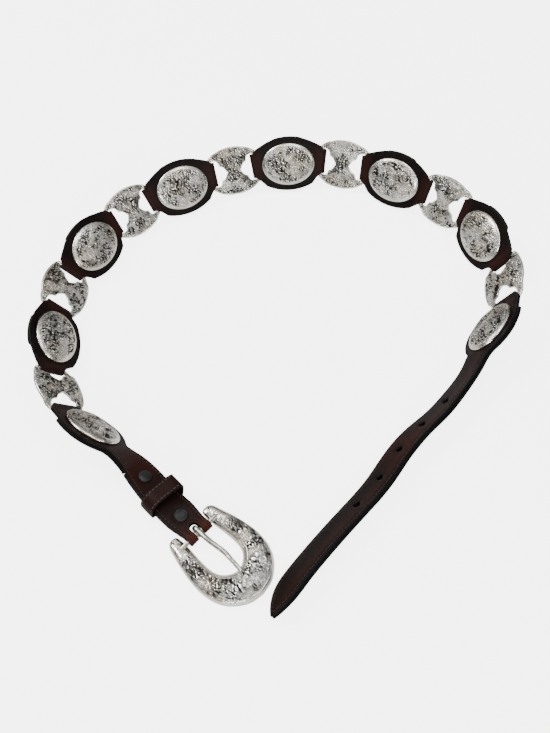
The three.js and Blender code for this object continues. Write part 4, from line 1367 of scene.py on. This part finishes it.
def buildConnectors():
    c = connector
    barPlace = belt["connectorPitch"] / 2
    armEnd = barPlace + c["pastBar"]
    outline = connectorOutline()
    sheet = Sheet(outline, [], [0.08, 0.22, 0.45, 0.75, 1.1], c["spacing"], 0.4)
    underSheet = Sheet(outline, [], [0.3], 2.5, 0.4)

    def slab(p):
        across = 1 - (p[:, 1] / c["halfWide"]) ** 2
        along = 1 - 0.75 * (p[:, 0] / armEnd) ** 2
        return c["lift"] + c["crown"] * across * along - c["dip"] * smooth(np.abs(p[:, 0]), *c["dipReach"])

    p = sheet.points
    strokes = reliefOf(p, connectorStrokes())
    ellipse = np.sqrt((p[:, 0] / c["halfOval"]) ** 2 + (p[:, 1] / c["halfWide"]) ** 2)
    fromRim = (1 - ellipse) * c["halfWide"]
    bead = np.sqrt(np.clip(1 - ((fromRim - c["bead"] / 2) / (c["bead"] / 2)) ** 2, 0, 1))
    field = smooth(fromRim, c["bead"] + 0.2, c["bead"] + 0.5) * smooth(sheet.distance, 0.45, 0.85)
    line = ridge(fromRim, c["bead"] + 0.15, 0.2) + ridge(sheet.distance, 0.7, 0.18) * (fromRim > 1.6)
    line = np.clip(line, 0, 1)
    height = slab(p) + c["thick"] / 2 - roundedDrop(sheet.distance, 0.4)
    height += c["beadRise"] * bead - c["relief"] * (1 - strokes) * field - 0.15 * line
    recess = np.clip((1 - strokes) ** 2.5 * field * 0.55 + line * 0.4, 0, 1)

    def under(q):
        return slab(q) - c["thick"] / 2 + roundedDrop(underSheet.distance, 0.3)

    parts = [castSolid(sheet, height, under, underSheet)]
    inner, outer = c["knuckleReach"]
    for x in (-barPlace, barPlace):
        parts.append(barMesh((x, -c["barHalf"], 0), (x, c["barHalf"], 0), belt["barRadius"]))
        for side in (-1, 1):
            ends = [(x, side * y, -c["knuckleDrop"]) for y in (inner, outer)]
            parts.append(barMesh(*ends, c["knuckleRadius"], rounding=0.5))
    verts, faces = joined(*parts)
    masks = {"recess": padded(recess, len(verts), 0.12), "cut": padded(field, len(verts))}
    for i, f in enumerate(connectors, 1):
        name = f"engraved_connector_{i}"
        addPiece(name, f.world(verts), faces, silver, "belt", "silver", (f"connector_{i}",), **masks)


buildConchos()
buildScrews()
buildConnectors()
print("stage: conchos, screws and connectors")


def buildSnaps():
    radius = snaps["radius"]
    sheet = Sheet(circle((0, 0), radius, 64), [], [0.08, 0.2, 0.4, 0.7], 0.4, 0.4)
    underSheet = Sheet(circle((0, 0), radius, 64), [], [], 1.5, 0.4)
    r = np.hypot(sheet.points[:, 0], sheet.points[:, 1]) / radius
    height = snaps["rise"] * (1 - 0.55 * r**3) - roundedDrop(sheet.distance, 0.35)
    height -= 0.22 * np.exp(-(((r - 0.72) / 0.06) ** 2))
    cap = castSolid(sheet, height, lambda q: np.zeros(len(q)), underSheet)
    for i, place in enumerate(snaps["places"], 1):
        f = frameAt(strapA, buckleStrap["length"] - place)
        level = faceTop + snaps["gap"] - snaps["dishDepth"]
        top = LocalFrame(f.world([0, 0, level]), f.x, f.y)
        back = LocalFrame(f.world([0, 0, -faceTop - snaps["gap"]]), f.x, -f.y)
        post = barMesh((0, 0, -level), (0, 0, 0.3), 1.6)
        placed = ((top, cap), (back, cap), (top, post))
        verts, faces = joined(*((where.world(mesh[0]), mesh[1]) for where, mesh in placed))
        addPiece(f"domed_snap_{i}", verts, faces, gunmetal, "belt", "gunmetal", (f"snap_{i}",))


buckle = {
    "length": 70.5, "width": 54, "rise": 8.6, "edge": 2.4, "bar": 1.7, "barHalf": 16.5, "barPlace": 10.5,
    "soleDrop": 5.0, "relief": 0.42, "spacing": 0.34, "outerLine": 0.05, "innerLine": 0.85,
}
# Shares: outer along and side, inner along and side, rise, from an arm's end to the toe
buckleSections = [
    (0, 0.6, 0, 0.52, 0.2), (0.01, 0.68, 0.015, 0.45, 0.42), (0.05, 0.76, 0.06, 0.425, 0.52),
    (0.14, 0.83, 0.14, 0.42, 0.58), (0.28, 0.92, 0.26, 0.44, 0.66), (0.43, 0.985, 0.39, 0.46, 0.76),
    (0.58, 1, 0.5, 0.45, 0.86), (0.73, 0.93, 0.575, 0.39, 0.93), (0.86, 0.74, 0.63, 0.27, 0.97),
    (0.965, 0.39, 0.665, 0.125, 1), (1, 0, 0.675, 0, 1),
]


# Height across the ring, from its outer to its inner edge: place and share
buckleSwell = [
    (0, 0), (0.05, 0.42), (0.14, 0.74), (0.25, 0.92), (0.36, 0.99), (0.5, 1), (0.62, 0.95), (0.75, 0.82),
    (0.86, 0.58), (0.95, 0.28), (1, 0),
]
buckleScrolls = [
    (45.5, 14.2, 5.6, 150, 1.4, 1.1, 7, 4.6), (35.0, 18.8, 5.0, 250, -1.4, 1.0, 6, 4.2),
    (24.0, 18.9, 4.4, 90, 1.35, 0.9, 6, 3.8), (13.0, 17.0, 3.6, 250, -1.3, 0.8, 5, 3.2),
]
buckleLeaves = [
    (57.5, 9.0, 60, 6, 55, 1.0), (44.5, 24.0, -20, 5, -35, 0.9), (33.0, 15.2, 15, 5, 30, 0.8),
    (21.5, 21.5, -10, 4.5, -30, 0.8), (10.5, 17.4, 185, 6, -12, 0.75), (9.0, 15.2, 185, 5, 14, 0.6),
]
toeFan = {"place": 38.6, "radius": 2.6, "spread": 78, "leaves": 9, "length": 15.5}


def buckleStrokes():
    fan = []
    for a in np.linspace(-toeFan["spread"], toeFan["spread"], toeFan["leaves"]):
        x, y = toeFan["radius"] * math.cos(a * deg), toeFan["radius"] * math.sin(a * deg)
        fan.append(leaf(toeFan["place"] + x, y, a, toeFan["length"] - abs(a) * 0.03, a * 0.25, 1.1))
    side = []
    for row in buckleScrolls:
        side += scroll(*row)
    side += [leaf(*row) for row in buckleLeaves]
    return fan + mirrored(side, False, True)


def buildBuckle():
    b = buckle
    rows = np.array(buckleSections)
    curve = throughPoints(rows, 8)
    half = b["width"] / 2
    outer = np.column_stack([curve[:, 0] * b["length"] - b["barPlace"], curve[:, 1] * half])
    inner = np.column_stack([curve[:, 2] * b["length"] - b["barPlace"], curve[:, 3] * half])
    outerLine = np.vstack([outer, (outer * [1, -1])[::-1][1:]])
    innerLine = np.vstack([inner, (inner * [1, -1])[::-1][1:]])
    riseLine = np.concatenate([curve[:, 4], curve[::-1, 4][1:]])
    outline = np.vstack([outerLine, innerLine[::-1]])
    sheet = Sheet(outline, [], [0.08, 0.22, 0.45, 0.75, 1.1], b["spacing"], 0.55)
    underSheet = Sheet(outline, [], [0.5], 3, 0.55)

    def form(p):
        toOuter = distanceTo(p, outerLine, closed=False)
        toInner = distanceTo(p, innerLine, closed=False)
        t = toOuter / np.maximum(toOuter + toInner, 1e-6)
        nearest = np.argmin(((p[:, None, :] - outerLine[None, ::3, :]) ** 2).sum(2), axis=1) * 3
        nearest = np.clip(nearest, 0, len(outerLine) - 1)
        rise = (riseLine[nearest] + np.roll(riseLine, -1)[nearest]) / 2
        return t, rise, np.interp(t, *zip(*buckleSwell))

    p = sheet.points
    t, rise, shape = form(p)
    armEnd = smooth(p[:, 0], -b["barPlace"], -b["barPlace"] + 4.5) ** 0.5
    body = b["edge"] + (b["rise"] - b["edge"]) * rise * shape * (0.35 + 0.65 * armEnd)
    strokes = reliefOf(p, buckleStrokes())
    lines = ridge(t, b["innerLine"], 0.02) * smooth(p[:, 0], -2, 3)
    field = smooth(t, b["outerLine"], b["outerLine"] + 0.05) * smooth(p[:, 0], 4, 9)
    field *= 1 - smooth(t, b["innerLine"] - 0.07, b["innerLine"] - 0.03)
    height = body - roundedDrop(sheet.distance, 0.7) - b["relief"] * (1 - strokes) * field - 0.35 * lines
    recess = np.clip((1 - strokes) ** 2.5 * field * 0.6 + lines * 0.5, 0, 1)
    frameMesh = castSolid(sheet, height, lambda q: roundedDrop(underSheet.distance, 0.4), underSheet)
    frameMesh[0][:, 2] -= b["soleDrop"]
    bar = barMesh((0, -b["barHalf"], 0), (0, b["barHalf"], 0), b["bar"], 20)
    verts, faces = joined(frameMesh, bar)
    masks = {"recess": padded(recess, len(verts), 0.25), "cut": padded(field, len(verts))}
    placed = buckleFrame.world(verts)
    addPiece("horseshoe_buckle", placed, faces, buckleSilver, "buckle", "silver", ("buckle_frame",), **masks)


prong = {
    "radius": 1.75, "clearance": 0.3, "pastWindow": 4.2, "tipShare": 0.8, "taper": (0.55, 1), "set": 1.2,
    "broad": 1.05, "restShare": 0.45, "hookFrom": -60, "hookSweep": 225, "sides": 18,
}


# Prong: an open hook round the bar, then along over the window to rest on the toe
def buildProng():
    eye = buckle["bar"] + prong["clearance"] + prong["radius"]
    windowEnd = buckle["length"] * buckleSections[-1][2] - buckle["barPlace"]
    level = buckle["rise"] * prong["restShare"] + prong["radius"]
    route = []
    for i in range(10):
        a = (prong["hookFrom"] - prong["hookSweep"] * i / 9) * deg
        route.append((eye * math.cos(a), 0, eye * math.sin(a)))
    route += [
        (windowEnd * 0.3, 0, level * 0.72), (windowEnd * 0.62, prong["set"], level * 0.62),
        (windowEnd * 0.86, prong["set"] * 0.5, level * 0.7),
        (windowEnd + prong["pastWindow"] * 0.3, 0, level * 0.7),
        (windowEnd + prong["pastWindow"], 0, level * 0.57),
    ]
    line = resample(throughPoints(route, 10), 0.7, closed=False)
    count = len(line)
    broad = np.array([0, prong["broad"], 0])
    verts = []
    for i, (place, forward) in enumerate(zip(line, directions(line))):
        u = i / (count - 1)
        size = prong["radius"] * (1 + (prong["tipShare"] - 1) * float(smooth(u, *prong["taper"])))
        size *= math.sqrt(max(0.02, 1 - max(0, (u - 0.985) / 0.0152) ** 2))
        size *= math.sqrt(max(0.1, min(1, (u + 0.002) / 0.012)))
        up = unit(np.cross(forward, [0, 1, 0]))
        for k in range(prong["sides"]):
            a = 2 * math.pi * k / prong["sides"]
            verts.append(place + size * (up * math.cos(a) + broad * math.sin(a)))
    placed = buckleFrame.world(np.array(verts))
    sides, faces = prong["sides"], []
    for i in range(count - 1):
        for k in range(sides):
            a, b = i * sides + k, i * sides + (k + 1) % sides
            faces.append((b, a, a + sides, b + sides))
    faces.append(tuple(range(sides)))
    faces.append(tuple((count - 1) * sides + k for k in reversed(range(sides))))
    masks = {"recess": np.zeros(len(verts))}
    addPiece("polished_prong", placed, faces, buckleSilver, "prong", "silver", ("buckle_prong",), **masks)


buildSnaps()
buildBuckle()
buildProng()
print("stage: snaps, buckle and prong")


# Faces turned outwards, whatever way the builders wound them
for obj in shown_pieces():
    if obj.type == "MESH" and "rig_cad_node" not in obj:
        bm = bmesh.new()
        bm.from_mesh(obj.data)
        bmesh.ops.recalc_face_normals(bm, faces=bm.faces)
        bm.to_mesh(obj.data)
        bm.free()

studio = {
    "floorSize": 6.0, "floorColor": (0.75, 0.75, 0.75), "speckColor": (0.7425, 0.7425, 0.73875),
    "floorGlow": 4.5, "worldStrength": 0.5, "horizon": (0.03, 0.03, 0.031),
}
lamps = [
    ("window", (-0.9, 0.5, 1.3), (0.6, 0.6), 20, (1, 0.985, 0.96)),
    ("overhead", (0.3, 0.1, 1.6), (0.9, 0.5), 11, (1, 1, 1)),
    ("front", (-0.25, -1.5, 0.75), (0.9, 0.16), 15, (1, 0.98, 0.94)),
    ("fill", (0.9, -0.9, 0.9), (0.4, 0.4), 5, (0.98, 0.99, 1)),
]


def addStudio():
    bpy.ops.mesh.primitive_plane_add(size=studio["floorSize"], location=(0, 0, 0))
    floor = bpy.context.object
    floor.name = "floor"
    material, tree, shader, place = newMaterial("floor")
    speck = noise(tree, place, 30, 2, 0.5, (-600, 0))
    color = mixColor(tree, speck, studio["floorColor"], studio["speckColor"])
    tree.links.new(color, shader.inputs["Base Color"])
    shader.inputs["Roughness"].default_value = 0.9
    shader.inputs["Specular IOR Level"].default_value = 0.1
    shader.inputs["Emission Color"].default_value = (1, 1, 1, 1)
    seen = nodeOf(tree, "ShaderNodeLightPath", (-600, -300)).outputs["Is Camera Ray"]
    tree.links.new(mathNode(tree, "MULTIPLY", seen, studio["floorGlow"]), shader.inputs["Emission Strength"])
    floor.data.materials.append(material)
    world = bpy.data.worlds.new("studio")
    bpy.context.scene.world = world
    world.use_nodes = True
    tree = world.node_tree
    background = tree.nodes["Background"]
    direction = nodeOf(tree, "ShaderNodeTexCoord", (-900, 0)).outputs["Generated"]
    parts = nodeOf(tree, "ShaderNodeSeparateXYZ", (-700, 0))
    tree.links.new(direction, parts.inputs[0])
    seen = nodeOf(tree, "ShaderNodeLightPath", (-500, -300)).outputs["Is Camera Ray"]
    pale = mathNode(tree, "MAXIMUM", ramp(tree, parts.outputs["Z"], 0.25, 0.7, (-500, 0)), seen)
    tree.links.new(mixColor(tree, pale, studio["horizon"], (1.0, 1.0, 1.0)), background.inputs["Color"])
    strength = mathNode(tree, "MULTIPLY_ADD", seen, studio["floorGlow"], (-300, -300))
    strength.node.inputs[2].default_value = studio["worldStrength"]
    tree.links.new(strength, background.inputs["Strength"])
    for name, place, size, power, color in lamps:
        data = bpy.data.lights.new(name, "AREA")
        data.shape = "RECTANGLE"
        data.size, data.size_y = size
        data.energy = power
        data.color = color
        lamp = bpy.data.objects.new(name, data)
        lamp.location = place
        lamp.rotation_euler = (-Vector(place)).to_track_quat("-Z", "Y").to_euler()
        bpy.context.scene.collection.objects.link(lamp)


addStudio()
print("stage: studio")
